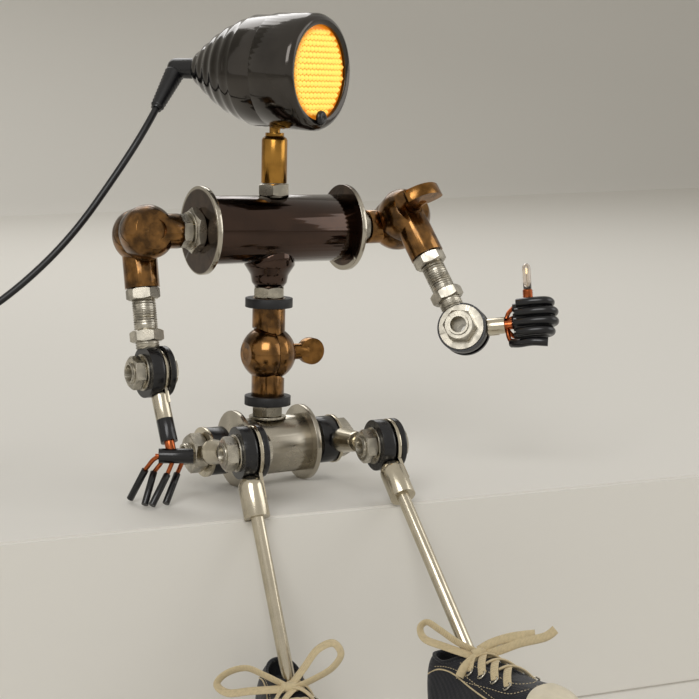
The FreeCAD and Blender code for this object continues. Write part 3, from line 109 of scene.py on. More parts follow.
BARREL = (
    frame_of(joint_place("head_tilt"), ("Y", LEAN), ("Z", HEAD_TURN), ("X", HEAD_PITCH))
    @ frame_of((0, SHELL_BACK, SHELL_RISE), ("X", 90))
)
PLUG_CORNER = BARREL @ frame_of((0, 0, -PLUG_REACH), ("Z", PLUG_TURN), ("X", 90))
BULB = frame_of((106.35, -66.6, 90.21), ("X", -6.42), ("Y", -0.46), ("Z", 44.86))
SHINS = {  # degrees of the hip's bend, the thigh's turn outwards and the knee's bend
    "right": (-10.15, -6.6, -17.4),
    "left": (-6.7, -4.9, -41.6),
}
ANKLES = {  # the shoe's place on its shin in millimetres, and how far it bends up and its toe turns out
    "right": ((1.096, 6.105, -104.877), 40.0, -5.0),
    "left": ((-2.337, 5.842, -118.27), 39.0, 20.0),
}


def shoe_frame(side):
    """The frame of the shoe at the end of a shin."""
    hip, turn, knee = SHINS[side]
    ankle, bend, toe_out = ANKLES[side]
    shin = frame_of(joint_place(f"{side}_knee"), ("X", hip), ("Z", turn), ("X", knee))
    return shin @ frame_of(ankle, ("X", bend), ("Z", toe_out))


SHOES = {side: shoe_frame(side) for side in SIDES}


# Colours and lengths

def linear(hex_colour):
    """An sRGB hex colour as linear red, green, blue and alpha."""
    channels = [int(hex_colour[index : index + 2], 16) / 255 for index in (1, 3, 5)]
    straight = [c / 12.92 if c <= 0.04045 else ((c + 0.055) / 1.055) ** 2.4 for c in channels]
    return (*straight, 1.0)


def colour(name, description, hex_colour):
    """A colour that a user can change."""
    return bpy.props.FloatVectorProperty(
        name=name, description=description, subtype="COLOR", size=4, min=0, max=1,
        default=linear(hex_colour),
    )


def length(name, description, millimetres):
    """A length that a user can change, given in millimetres."""
    return bpy.props.FloatProperty(
        name=name, description=description, unit="LENGTH", min=0, precision=5,
        default=millimetres * MM,
    )


class LampColours(bpy.types.PropertyGroup):
    """The colours of the lamp's finishes."""

    nickel: colour("Satin nickel", "Pelvis tube and flanges", "#B9B2A4")
    zinc: colour("Zinc plate", "Nuts, washers and hollow pipe", "#C6C0B2")
    # The dark bronze colour is a painted reflection: a dark room mirrored in the polished coppery torso
    bronze: colour("Dark bronze", "Torso tube and cup", "#3F2C21")
    disc: colour("Disc bronze", "Faces of the torso discs", "#4E3C2E")
    antique: colour("Antique bronze", "Swivels and their keys", "#8C6436")
    brass: colour("Aged brass", "Neck tube and ball stud", "#B0813C")
    black_nickel: colour("Black nickel", "Head shell and bezel", "#4A4642")
    tin: colour("Tin plate", "Cable lugs", "#CBC2AE")
    steel: colour("Polished steel", "Leg rods", "#CFCAC0")
    wire: colour("Bare copper", "Hand wires and bulb base", "#C2683C")
    moulding: colour("Black moulding", "Hubs, spacers and plugs", "#131316")
    canvas: colour("Canvas", "Shoe uppers", "#14161F")
    cream: colour("Cream rubber", "Soles and toe caps", "#E9DFC6")
    cotton: colour("Cotton", "Laces and piping", "#E0CDA4")
    lens: colour("Lens", "Middle of the lit lens", "#FFD86A")
    amber: colour("Lens rim", "Edge of the lit lens", "#F08A1E")


class LampSizes(bpy.types.PropertyGroup):
    """The sizes of what is added to the lamp's metalwork."""

    edge: length("Edge radius", "Rounding of every machined edge", 0.22)
    cord: length("Cord", "Diameter of the cord", 3.5)
    cord_length: length("Cord length", "Whole length of the cord", 1325)
    thread_pitch: length("Thread pitch", "Step of the threads on the hollow pipe", 1.1)
    prism_pitch: length("Prism pitch", "Spacing of the prisms on the lens", 3.1)
    lace_width: length("Lace width", "Width of the soft cotton laces", 4.0)
    floor: length("Floor", "Half the width of the studio floor", 3000)


# Materials

MARK_DEPTH = 0.0002  # metres of relief that tool marks and moulding grain stand for
WAVE_PERIOD = 0.32  # metres between the bands of a Wave texture whose scale is 1
GLOW_CENTRE = 70.0  # where the lamp's glow is brightest, along the shell in millimetres
GLOW_RADIUS = 22.3
DISC_EDGE = 20.2  # radius in millimetres where a torso disc's painted rim highlight starts


def node(tree, kind, links=None, **settings):
    """Adds a node, sets its properties, and sets or links its inputs by name or number."""
    item = tree.nodes.new(kind)
    for key, value in settings.items():
        setattr(item, key, value)
    for key, value in (links or {}).items():
        socket = item.inputs[key]
        if isinstance(value, bpy.types.NodeSocket):
            tree.links.new(value, socket)
        else:
            socket.default_value = value
    return item


def material(name):
    """An empty material and its tree, shader and object coordinates."""
    made = bpy.data.materials.new(name)
    made.use_nodes = True
    tree = made.node_tree
    shader = tree.nodes["Principled BSDF"]
    where = node(tree, "ShaderNodeTexCoord").outputs["Object"]
    return made, tree, shader, where


def shades(tree, factor, *stops):
    """A ramp from (position, colour) stops over a factor."""
    ramp = node(tree, "ShaderNodeValToRGB", {"Fac": factor})
    ramp.color_ramp.elements[0].position, ramp.color_ramp.elements[0].color = stops[0]
    ramp.color_ramp.elements[1].position, ramp.color_ramp.elements[1].color = stops[-1]
    for position, shade in stops[1:-1]:
        ramp.color_ramp.elements.new(position).color = shade
    return ramp.outputs["Color"]


def dimmed(shade, amount):
    """A darker shade of a linear colour."""
    return (*(channel * amount for channel in shade[:3]), 1.0)


def noise(tree, where, size_mm, detail):
    """Soft random patches about as large as a size in millimetres."""
    inputs = {"Vector": where, "Scale": 1 / (size_mm * MM), "Detail": detail}
    return node(tree, "ShaderNodeTexNoise", inputs).outputs["Fac"]


def remapped(tree, value, low, high):
    """The middle of a noise spread from one value to another."""
    spread = node(
        tree, "ShaderNodeMapRange",
        {"Value": value, "From Min": 0.3, "From Max": 0.7, "To Min": low, "To Max": high},
    )
    return spread.outputs["Result"]


def dressed(tree, shader, base, rough, relief, strength, depth=MARK_DEPTH):
    """Links a shader's colour and roughness, and raises its surface by a relief."""
    marks = node(tree, "ShaderNodeBump", {"Strength": strength, "Distance": depth, "Height": relief})
    tree.links.new(base, shader.inputs["Base Color"])
    if rough is not None:
        tree.links.new(rough, shader.inputs["Roughness"])
    tree.links.new(marks.outputs["Normal"], shader.inputs["Normal"])


def metal(name, shade, dark, rough, smudge_mm=14.0, grain_mm=0.5, bump=0.03, coat=0.0):
    """Plated or solid metal: its own colour, darker where tarnish or oil lies, and fine tool marks."""
    made, tree, shader, where = material(name)
    smudge = noise(tree, where, smudge_mm, 5)
    base = shades(tree, smudge, (0.38, dimmed(shade, dark)), (0.62, tuple(shade)))
    polish = remapped(tree, smudge, rough * 1.45, rough * 0.75)
    dressed(tree, shader, base, polish, noise(tree, where, grain_mm, 2), bump)
    shader.inputs["Metallic"].default_value = 1.0
    shader.inputs["Coat Weight"].default_value = coat
    return made


def moulded(name, shade, rough, grain_mm=0.35, bump=0.12, ior=1.5):
    """Moulded plastic or rubber: one colour with a fine eggshell grain and a few duller patches."""
    made, tree, shader, where = material(name)
    patch = noise(tree, where, 9.0, 4)
    base = shades(tree, patch, (0.35, dimmed(shade, 0.8)), (0.7, tuple(shade)))
    dull = remapped(tree, patch, rough * 0.8, rough * 1.25)
    dressed(tree, shader, base, dull, noise(tree, where, grain_mm, 3), bump)
    shader.inputs["IOR"].default_value = ior
    return made


def woven(name, shade, thread_mm, dark=0.55):
    """Plain woven cotton: over and under threads in two directions, with a soft fuzz of loose fibre."""
    made, tree, shader, where = material(name)
    bands = {"Vector": where, "Scale": WAVE_PERIOD / (thread_mm * MM), "Distortion": 0.4}
    across = node(tree, "ShaderNodeTexWave", bands, bands_direction="X").outputs["Fac"]
    along = node(tree, "ShaderNodeTexWave", bands, bands_direction="Z").outputs["Fac"]
    weave = node(tree, "ShaderNodeMath", {0: across, 1: along}, operation="MULTIPLY")
    fuzz = noise(tree, where, 1.5, 4)
    cloth = node(tree, "ShaderNodeMath", {0: weave.outputs[0], 1: fuzz}, operation="ADD").outputs[0]
    base = shades(tree, cloth, (0.35, dimmed(shade, dark)), (1.0, tuple(shade)))
    dressed(tree, shader, base, None, cloth, 0.5, 0.0003)
    shader.inputs["Roughness"].default_value = 0.9
    shader.inputs["Sheen Weight"].default_value = 0.25
    return made


def lit_lens(name, shade, rim, glow_strength):
    """Pressed acrylic with the lamp lit behind it: pale yellow in the middle, amber towards the rim."""
    made, tree, shader, where = material(name)
    middle = tuple(BARREL @ Vector((0, 0, GLOW_CENTRE * MM)))
    away = node(tree, "ShaderNodeVectorMath", {0: where, 1: middle}, operation="DISTANCE").outputs["Value"]
    share = node(tree, "ShaderNodeMapRange", {"Value": away, "From Max": GLOW_RADIUS * MM}).outputs["Result"]
    glow = shades(tree, share, (0.0, tuple(shade)), (0.85, tuple(shade)), (1.0, tuple(rim)))
    tree.links.new(glow, shader.inputs["Base Color"])
    tree.links.new(glow, shader.inputs["Emission Color"])
    shader.inputs["Roughness"].default_value = 0.12
    shader.inputs["IOR"].default_value = 1.49
    shader.inputs["Emission Strength"].default_value = glow_strength
    return made


def clear_glass(name, tint="#F4EDE6"):
    """Blown glass: clear, with a sharp highlight and darker edges where it is thick to look through."""
    made, _, shader, _ = material(name)
    shader.inputs["Base Color"].default_value = linear(tint)
    shader.inputs["Roughness"].default_value = 0.02
    shader.inputs["Transmission Weight"].default_value = 0.95
    shader.inputs["IOR"].default_value = 1.45
    return made


def hot_wire(name, shade):
    """A glowing filament: the lit tip inside the little bulb."""
    made, _, shader, _ = material(name)
    shader.inputs["Base Color"].default_value = linear(shade)
    shader.inputs["Emission Color"].default_value = linear(shade)
    shader.inputs["Emission Strength"].default_value = 1.6
    return made


def metal_with_painted_rim(name, face, rim, edge_mm):
    """A turned disc whose dark bronze face ends in a bright rim, a painted highlight along its edge."""
    made = metal(name, face, 0.55, 0.2, 9.0, 0.5, 0.03, 0.2)
    tree = made.node_tree
    shader = tree.nodes["Principled BSDF"]
    where = node(tree, "ShaderNodeTexCoord").outputs["Object"]
    # The bright rim is a painted highlight: past a radius the nickel colour is mixed over the bronze face
    across = node(tree, "ShaderNodeVectorMath", {0: where, 1: (0, 1, 1)}, operation="MULTIPLY")
    middle = (0, 0, TORSO_HEIGHT)
    away = node(tree, "ShaderNodeVectorMath", {0: across.outputs[0], 1: middle}, operation="DISTANCE")
    painted_rim_highlight = node(
        tree, "ShaderNodeMapRange",
        {"Value": away.outputs["Value"], "From Min": (edge_mm - 0.5) * MM, "From Max": edge_mm * MM},
    )
    under = shader.inputs["Base Color"].links[0].from_socket
    inputs = {0: painted_rim_highlight.outputs["Result"], 6: under, 7: tuple(rim)}
    mixed = node(tree, "ShaderNodeMix", inputs, data_type="RGBA")
    tree.links.new(mixed.outputs[2], shader.inputs["Base Color"])
    return made


def sides(*names):
    """The nodes with these names on both sides of the body."""
    return [f"{side}_{name}" for side in SIDES for name in names]


def finishes():
    """Every metal and plastic of the lamp's machined pieces, with the nodes that each one is on."""
    look = bpy.context.scene.lamp_colours
    return (
        # Nickel plate rubbed on a wheel: soft, slightly warm highlights that smear along the tube
        (metal("satin nickel plate", look.nickel, 0.82, 0.26), ["pelvis_tube", "pelvis_flanges"]),
        # Bright zinc on cut steel: pale grey with duller, darker patches from handling
        (
            metal("zinc plated steel", look.zinc, 0.6, 0.26, 6.0),
            ["hip_axle", "waist_fasteners", "chest_fasteners", *sides("arm_pipe", "elbow_axle", "knee_axle")],
        ),
        # Polished bronze under clear lacquer, painted nearly black brown as a painted reflection of a dark
        # room in place of its own coppery colour, with sharp, bright streaks
        (
            metal("polished dark bronze", look.bronze, 0.7, 0.13, 20.0, 0.5, 0.01, 0.5),
            ["torso_tube", "waist_cup"],
        ),
        # Cast fittings stained brown and rubbed back: golden high spots with dark clouds between
        (
            metal("antique bronze", look.antique, 0.28, 0.2, 7.0, 0.6, 0.05, 0.25),
            ["waist_swivel_lower", "waist_swivel_upper", "right_shoulder_screw",
             *sides("shoulder_inner", "shoulder_outer")],
        ),
        # The same metal where fingers turn it: lighter and more even
        (metal("rubbed bronze keys", look.antique, 0.5, 0.22, 5.0), ["waist_key", "left_shoulder_key"]),
        # Turned discs: a dark face and a bright ring, a painted highlight along the edge
        (metal_with_painted_rim("bronze disc", look.disc, look.nickel, DISC_EDGE), ["torso_discs"]),
        # Bare brass gone brown: yellow glints with dull, darker bands
        (metal("aged brass", look.brass, 0.6, 0.22, 10.0), ["neck_tube", "neck_ball_stud", "neck_socket"]),
        # Black nickel polished like a mirror: dark, with hard white reflections on every step
        (
            metal("polished black nickel", look.black_nickel, 0.7, 0.12, 25.0, 0.5, 0.005, 0.3),
            ["head_shell", "head_bezel", "lens_screw"],
        ),
        # Tin over copper lugs and rods: pale and silky, with a faint warm cast
        (metal("tin plated copper", look.tin, 0.84, 0.2, 9.0), sides("forearm_lug", "hip_lug", "shin")),
        # Injection moulded plastic: deep black with a clean, narrow sheen
        (
            moulded("black moulded plastic", look.moulding, 0.24),
            ["hip_spacers", "head_jack", "dc_plug", "supply_plug", *sides("elbow_hub", "knee_hub")],
        ),
        # Rubber bushings: matt black that barely shines
        (moulded("black rubber", look.moulding, 0.5), ["waist_collar_lower", "waist_collar_upper"]),
        # Shrunk tubing: black, glossy and slightly uneven over the wire
        (moulded("heat shrink sleeve", look.moulding, 0.2, 0.8, 0.08), sides("hand_sleeves")),
        # Stripped wire: bright orange copper
        (metal("bare copper wire", look.wire, 0.6, 0.2, 3.0), sides("hand_wires")),
        # The valleys between the prisms: a deeper amber than their lit tips
        (lit_lens("lens grooves", look.amber, look.amber, 0.45), ["head_lens"]),
        # Spun aluminium behind the lens: a mirror with a soft blur
        (metal("reflector aluminium", look.steel, 0.9, 0.08), ["light_engine"]),
    )


# Meshes

def piece(name, mesh, body, finish):
    """A finished object at the origin that rides on a body and has one finish."""
    item = bpy.data.objects.new(name, mesh)
    bpy.context.scene.collection.objects.link(item)
    mesh.materials.clear()
    mesh.materials.append(finish)
    for polygon in mesh.polygons:
        polygon.use_smooth = True
    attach(item, body)
    return item


def to_mesh(name, made, place):
    """A mesh from millimetre drawing, moved to its frame in metres with its faces outwards."""
    bmesh.ops.remove_doubles(made, verts=made.verts, dist=1e-4)
    bmesh.ops.recalc_face_normals(made, faces=made.faces)
    made.transform(place @ Matrix.Diagonal((MM, MM, MM, 1)))
    mesh = bpy.data.meshes.new(name)
    made.to_mesh(mesh)
    made.free()
    return mesh


def lathe(made, outline, steps=64):
    """Turns (radius, height) points about Z; a radius of zero closes the end."""
    rings = []
    for radius, height in outline:
        count = 1 if radius == 0 else steps
        angles = [2 * math.pi * n / count for n in range(count)]
        rings.append([made.verts.new((radius * math.cos(a), radius * math.sin(a), height)) for a in angles])
    for low, high in zip(rings, rings[1:]):
        for n in range(steps):
            ahead = (n + 1) % steps
            corners = (low[n % len(low)], low[ahead % len(low)], high[ahead % len(high)], high[n % len(high)])
            corners = list(dict.fromkeys(corners))
            if len(corners) > 2:
                made.faces.new(corners)


def smooth_line(points, between=8, closed=False):
    """Points on a smooth line through all the given ones."""
    points = [Vector(point) for point in points]
    line = []
    count = len(points)
    for n in range(count if closed else count - 1):
        if closed:
            before, here, there, after = (points[(n + k) % count] for k in (-1, 0, 1, 2))
        else:
            before, here, there, after = (points[min(max(n + k, 0), count - 1)] for k in (-1, 0, 1, 2))
        for step in range(between):
            t = step / between
            line.append(
                0.5 * (2 * here + (there - before) * t + (2 * before - 5 * here + 4 * there - after) * t * t
                       + (3 * here - before - 3 * there + after) * t ** 3)
            )
    if not closed:
        line.append(points[-1])
    return line


def sweep(made, line, section, normal, closed=False):
    """Carries a flat section, as (across, up) points, along a line whose up side faces the normal."""
    count = len(line)
    rings = []
    for n, point in enumerate(line):
        ahead = line[(n + 1) % count] if closed else line[min(n + 1, count - 1)]
        behind = line[n - 1] if closed or n else line[0]
        along = (ahead - behind).normalized()
        facing = normal(n / (count - 1)) if callable(normal) else Vector(normal)
        across = along.cross(facing).normalized()
        up = across.cross(along)
        rings.append([made.verts.new(point + across * side + up * rise) for side, rise in section])
    pairs = zip(rings, rings[1:] + rings[:1]) if closed else zip(rings, rings[1:])
    for low, high in pairs:
        for n in range(len(section)):
            following = (n + 1) % len(section)
            made.faces.new((low[n], low[following], high[following], high[n]))
    if not closed:
        made.faces.new(rings[0])
        made.faces.new(rings[-1])


def oval(width, thickness, lean=0.0, steps=12):
    """The section of a flat band or a round tube, leant over by an angle."""
    across, up = math.cos(lean), math.sin(lean)
    section = []
    for n in range(steps):
        angle = 2 * math.pi * n / steps
        side = width / 2 * math.cos(angle)
        rise = thickness / 2 * math.sin(angle)
        section.append((side * across - rise * up, side * up + rise * across))
    return section


# Geometry Nodes

def tree_of(name, *words):
    """A tree that takes geometry and these sizes and gives geometry."""
    tree = bpy.data.node_groups.new(name, "GeometryNodeTree")
    tree.interface.new_socket(name="Geometry", in_out="INPUT", socket_type="NodeSocketGeometry")
    for word in words:
        tree.interface.new_socket(name=word, in_out="INPUT", socket_type="NodeSocketFloat")
    tree.interface.new_socket(name="Geometry", in_out="OUTPUT", socket_type="NodeSocketGeometry")
    return tree, node(tree, "NodeGroupInput").outputs


def finish_tree(tree, geometry, finish):
    """Ends a tree with plain geometry in one finish."""
    real = node(tree, "GeometryNodeRealizeInstances", {"Geometry": geometry})
    painted = node(tree, "GeometryNodeSetMaterial", {"Geometry": real.outputs[0], "Material": finish})
    node(tree, "NodeGroupOutput", {"Geometry": painted.outputs[0]})
    return tree


def grown(tree, base, values):
    """The plain mesh that a tree makes of a mesh with its sizes set by name."""
    holder = bpy.data.objects.new("workpiece", base)
    bpy.context.scene.collection.objects.link(holder)
    modifier = holder.modifiers.new("made by nodes", "NODES")
    modifier.node_group = tree
    for item in tree.interface.items_tree:
        if item.in_out == "INPUT" and item.name in values:
            modifier[item.identifier] = values[item.name]
    bpy.context.view_layer.update()
    graph = bpy.context.evaluated_depsgraph_get()
    mesh = bpy.data.meshes.new_from_object(holder.evaluated_get(graph))
    bpy.data.objects.remove(holder)
    return mesh


def thread_tree(finish):
    """A screw thread: a small square ridge wound round a pipe."""
    tree, given = tree_of("screw thread", "Length", "Radius", "Pitch", "Depth")
    turns = node(tree, "ShaderNodeMath", {0: given["Length"], 1: given["Pitch"]}, operation="DIVIDE")
    helix = node(
        tree, "GeometryNodeCurveSpiral",
        {"Resolution": 40, "Rotations": turns.outputs[0], "Start Radius": given["Radius"],
         "End Radius": given["Radius"], "Height": given["Length"]},
    )
    ridge = node(tree, "GeometryNodeCurvePrimitiveCircle", {"Resolution": 4, "Radius": given["Depth"]})
    wound = node(
        tree, "GeometryNodeCurveToMesh",
        {"Curve": helix.outputs[0], "Profile Curve": ridge.outputs[0], "Fill Caps": True},
    )
    return finish_tree(tree, wound.outputs[0], finish)


def prism_tree(finish):
    """Six-sided prisms on every point, as on a pressed lamp lens."""
    tree, given = tree_of("lens prisms", "Width", "Height")
    wide = node(tree, "ShaderNodeMath", {0: given["Width"], 1: 0.52}, operation="MULTIPLY")
    narrow = node(tree, "ShaderNodeMath", {0: given["Width"], 1: 0.16}, operation="MULTIPLY")
    prism = node(
        tree, "GeometryNodeMeshCone",
        {"Vertices": 6, "Radius Top": narrow.outputs[0], "Radius Bottom": wide.outputs[0],
         "Depth": given["Height"]},
    )
    spread = node(
        tree, "GeometryNodeInstanceOnPoints", {"Points": given["Geometry"], "Instance": prism.outputs[0]}
    )
    return finish_tree(tree, spread.outputs[0], finish)


def facing_copies(tree, points, shape, scale):
    """Copies of a shape on every point, turned along the point's own facing."""
    facing = node(tree, "GeometryNodeInputNamedAttribute", {"Name": "facing"}, data_type="FLOAT_VECTOR")
    turn = node(tree, "FunctionNodeAlignRotationToVector", {"Vector": facing.outputs[0]}, axis="Z")
    return node(
        tree, "GeometryNodeInstanceOnPoints",
        {"Points": points, "Instance": shape, "Rotation": turn.outputs[0], "Scale": scale},
    ).outputs[0]


def eyelet_tree(finish):
    """Rolled metal eyelets."""
    tree, given = tree_of("eyelets", "Radius", "Wire")
    circle = node(tree, "GeometryNodeCurvePrimitiveCircle", {"Resolution": 20, "Radius": given["Radius"]})
    wire = node(tree, "GeometryNodeCurvePrimitiveCircle", {"Resolution": 8, "Radius": given["Wire"]})
    rolled = node(
        tree, "GeometryNodeCurveToMesh", {"Curve": circle.outputs[0], "Profile Curve": wire.outputs[0]}
    )
    return finish_tree(tree, facing_copies(tree, given["Geometry"], rolled.outputs[0], (1, 1, 1)), finish)


def stitch_tree(finish):
    """Short rounded stitches that lie along a seam."""
    tree, given = tree_of("stitches", "Thickness", "Length")
    bead = node(tree, "GeometryNodeMeshUVSphere", {"Segments": 6, "Rings": 5, "Radius": 1.0})
    thickness = given["Thickness"]
    size = node(tree, "ShaderNodeCombineXYZ", {"X": thickness, "Y": thickness, "Z": given["Length"]})
    return finish_tree(tree, facing_copies(tree, given["Geometry"], bead.outputs[0], size.outputs[0]), finish)


def dotted(points, facings, place):
    """A mesh of loose points, each with the direction that its copy faces."""
    mesh = bpy.data.meshes.new("points")
    mesh.from_pydata([tuple(place @ (Vector(point) * MM)) for point in points], [], [])
    facing = mesh.attributes.new("facing", "FLOAT_VECTOR", "POINT")
    for item, direction in zip(facing.data, facings):
        item.vector = place.to_3x3() @ Vector(direction)
    return mesh


# Stage

CAMERA_AZIMUTH = math.radians(30.0)
CAMERA_PITCH = math.radians(8.3)
CAMERA_DISTANCE = 0.980
FOCAL_PIXELS = 2000.0
PICTURE_PIXELS = 699.0
ORIGIN_PIXEL = (269.0, 482.0)  # where the middle of the seat lies in the photograph
SENSOR_WIDTH = 36.0  # millimetres
FLOOR_GAP = 0.002  # metres from the lowest point of the shoes down to the floor
# How the paper curves up behind, as (y, rise), and the ledge with its front edge behind the hanging shins
BACKDROP = ((1.2, 0.0), (1.7, 0.12), (2.0, 0.5), (2.1, 3.0))
PLINTH = ((-2.4, 1.95), (2.4, 1.95), (2.4, -0.3414), (-2.4, 0.2))
PLINTH_ROUND = 0.0012
SOFTBOXES = (  # name, place and size in metres, and power in watts
    ("key softbox", (-0.9, -1.1, 1.1), 0.9, 11.0),
    ("fill softbox", (1.3, -0.8, 0.6), 1.0, 5.0),
    ("rim softbox", (0.3, 1.2, 1.2), 1.0, 8.0),
)
LIGHT_AIM = (0, 0, 0.08)  # the middle of the figure
ROOM_LIGHT = 0.45  # strength of the pale room on matt surfaces
ROOM_SEEN = 0.8  # and as the camera, mirrors and glass see it


class LAMP_OT_stage(bpy.types.Operator):
    """Adds the camera, the pale floor and the soft studio light"""

    bl_idname = "lamp.stage"
    bl_label = "Studio stage"

    def execute(self, context):
        scene = context.scene
        scene.view_settings.view_transform = "Standard"
        ahead = Vector((math.sin(CAMERA_AZIMUTH), math.cos(CAMERA_AZIMUTH), 0))
        right = Vector((math.cos(CAMERA_AZIMUTH), -math.sin(CAMERA_AZIMUTH), 0))
        forward = ahead * math.cos(CAMERA_PITCH) - Vector((0, 0, math.sin(CAMERA_PITCH)))
        upward = ahead * math.sin(CAMERA_PITCH) + Vector((0, 0, math.cos(CAMERA_PITCH)))
        half = PICTURE_PIXELS / 2
        aside = (half - ORIGIN_PIXEL[0]) * CAMERA_DISTANCE / FOCAL_PIXELS
        above = (ORIGIN_PIXEL[1] - half) * CAMERA_DISTANCE / FOCAL_PIXELS
        place = right * aside + upward * above - forward * CAMERA_DISTANCE
        camera = bpy.data.cameras.new("photo camera")
        camera.sensor_width = SENSOR_WIDTH
        camera.lens = SENSOR_WIDTH * FOCAL_PIXELS / PICTURE_PIXELS
        camera.clip_end = 20.0
        holder = bpy.data.objects.new("photo camera", camera)
        turned = Matrix((right, upward, -forward)).transposed().to_4x4()
        holder.matrix_world = Matrix.Translation(place) @ turned
        scene.collection.objects.link(holder)
        scene.camera = holder
        self.floor(context)
        self.lights(context)
        return {"FINISHED"}

    def floor(self, context):
        """A floor under the hanging shoes, the ledge that the lamp sits on, and a pale backdrop."""
        side = context.scene.lamp_sizes.floor
        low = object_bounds()[0][2] - FLOOR_GAP
        points = [(-side, low), *((y, low + rise) for y, rise in BACKDROP)]
        paper, _, shader, _ = material("pale matt paper")
        shader.inputs["Base Color"].default_value = linear("#E6E3DC")
        shader.inputs["Roughness"].default_value = 0.95
        mesh = bpy.data.meshes.new("studio_floor")
        vertices = [(x, y, z) for y, z in points for x in (-side, side)]
        faces = [(2 * n, 2 * n + 1, 2 * n + 3, 2 * n + 2) for n in range(len(points) - 1)]
        mesh.from_pydata(vertices, [], faces)
        for polygon in mesh.polygons:
            polygon.use_smooth = True
        ledge = bpy.data.meshes.new("studio_plinth")
        made = bmesh.new()
        top = made.faces.new([made.verts.new((x, y, 0)) for x, y in PLINTH])
        for item in bmesh.ops.extrude_face_region(made, geom=[top])["geom"]:
            if isinstance(item, bmesh.types.BMVert):
                item.co.z = low
        bmesh.ops.recalc_face_normals(made, faces=made.faces)
        bmesh.ops.bevel(made, geom=made.edges, offset=PLINTH_ROUND, segments=3, affect="EDGES")
        made.to_mesh(ledge)
        made.free()
        pieces = []
        for shape in (mesh, ledge):
            shape.materials.append(paper)
            pieces.append(bpy.data.objects.new(shape.name, shape))
            context.scene.collection.objects.link(pieces[-1])
        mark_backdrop(*pieces)

    def lights(self, context):
        """A broad soft key from the front left, a fill from the right and a strip behind for the rims."""
        for name, place, size, power in SOFTBOXES:
            light = bpy.data.lights.new(name, "AREA")
            light.size = size
            light.energy = power
            holder = bpy.data.objects.new(name, light)
            holder.location = place
            aim = Vector(LIGHT_AIM) - Vector(place)
            holder.rotation_euler = aim.to_track_quat("-Z", "Y").to_euler()
            context.scene.collection.objects.link(holder)
        world = bpy.data.worlds.new("studio world")
        context.scene.world = world
        world.use_nodes = True
        tree = world.node_tree
        background = tree.nodes["Background"]
        rays = node(tree, "ShaderNodeLightPath").outputs
        seen = rays["Is Camera Ray"]
        for other in ("Is Glossy Ray", "Is Transmission Ray"):
            seen = node(tree, "ShaderNodeMath", {0: seen, 1: rays[other]}, operation="MAXIMUM").outputs[0]
        strength = node(
            tree, "ShaderNodeMapRange", {"Value": seen, "To Min": ROOM_LIGHT, "To Max": ROOM_SEEN}
        )
        tree.links.new(strength.outputs["Result"], background.inputs["Strength"])
        background.inputs["Color"].default_value = linear("#E4E0D8")


# Cord

CORD_ROUTE = [
    (-37.91, 43.63, 181.09),
    (-45.55, 39.78, 171.30),
    (-61.0, 40.0, 150.0),
    (-84.0, 41.0, 121.0),
    (-110.0, 43.0, 98.0),
    (-134.0, 45.0, 83.0),
    (-158.0, 42.0, 64.0),
    (-178.0, 40.0, 42.0),
    (-188.0, 46.0, 22.0),
    (-190.0, 60.0, 12.0),
    (-190.0, 74.0, 10.0),
]
COIL_CENTRE = (-170.0, 72.0)
COIL_TURNS = [  # mean radius and height of each turn, from the top layer down
    (20.0, 8.75), (23.5, 8.75),
    (23.5, 5.25), (20.0, 5.25), (16.5, 5.25),
    (16.5, 1.75), (20.0, 1.75), (23.5, 1.75),
]
POINTS_PER_TURN = 14
CROSS_OVER = 0.72  # share of a turn after which the cord moves over to the next one
CORD_TAIL = [
    (-194.4, 86.0, 1.75), (-193.0, 97.0, 2.4), (-187.0, 103.6, 3.6), (-179.0, 104.5, 4.0),
    (-172.0, 104.5, 4.0),
]
SUPPLY_END = (-178.0, 104.5, 4.0)  # the face where the cord enters its supply plug
# The tapered sleeve on that face, as (radius, distance from the plug)
RELIEF_OUTLINE = [
    (0, -1), (3.4, -1), (3.4, 1), (2.9, 1.6), (3.2, 2.2), (2.7, 3.0), (3.0, 3.6), (2.5, 4.4), (2.8, 5.0),
    (2.2, 6.0), (0, 6.0),
]
# The ribbed sleeve below the corner of the head's plug
PLUG_RIBS = 23  # one per millimetre
PLUG_SLEEVE = 4.75  # its radius at the corner
SLEEVE_TAPER = 0.075  # how much thinner each rib is than the last
RIB_DEPTH = 0.25


def coil_points():
    """The neat coil, wound clockwise seen from above, each turn beside or under the last."""
    points = []
    for number, (radius, height) in enumerate(COIL_TURNS):
        wider, lower = COIL_TURNS[min(number + 1, len(COIL_TURNS) - 1)]
        for step in range(1, POINTS_PER_TURN + 1):
            angle = math.pi - 2 * math.pi * step / POINTS_PER_TURN
            share = max(0.0, (step / POINTS_PER_TURN - CROSS_OVER) / (1 - CROSS_OVER))
            here = radius + (wider - radius) * share
            level = height + (lower - height) * share
            x, y = COIL_CENTRE
            points.append((x + here * math.cos(angle), y + here * math.sin(angle), level))
    return points


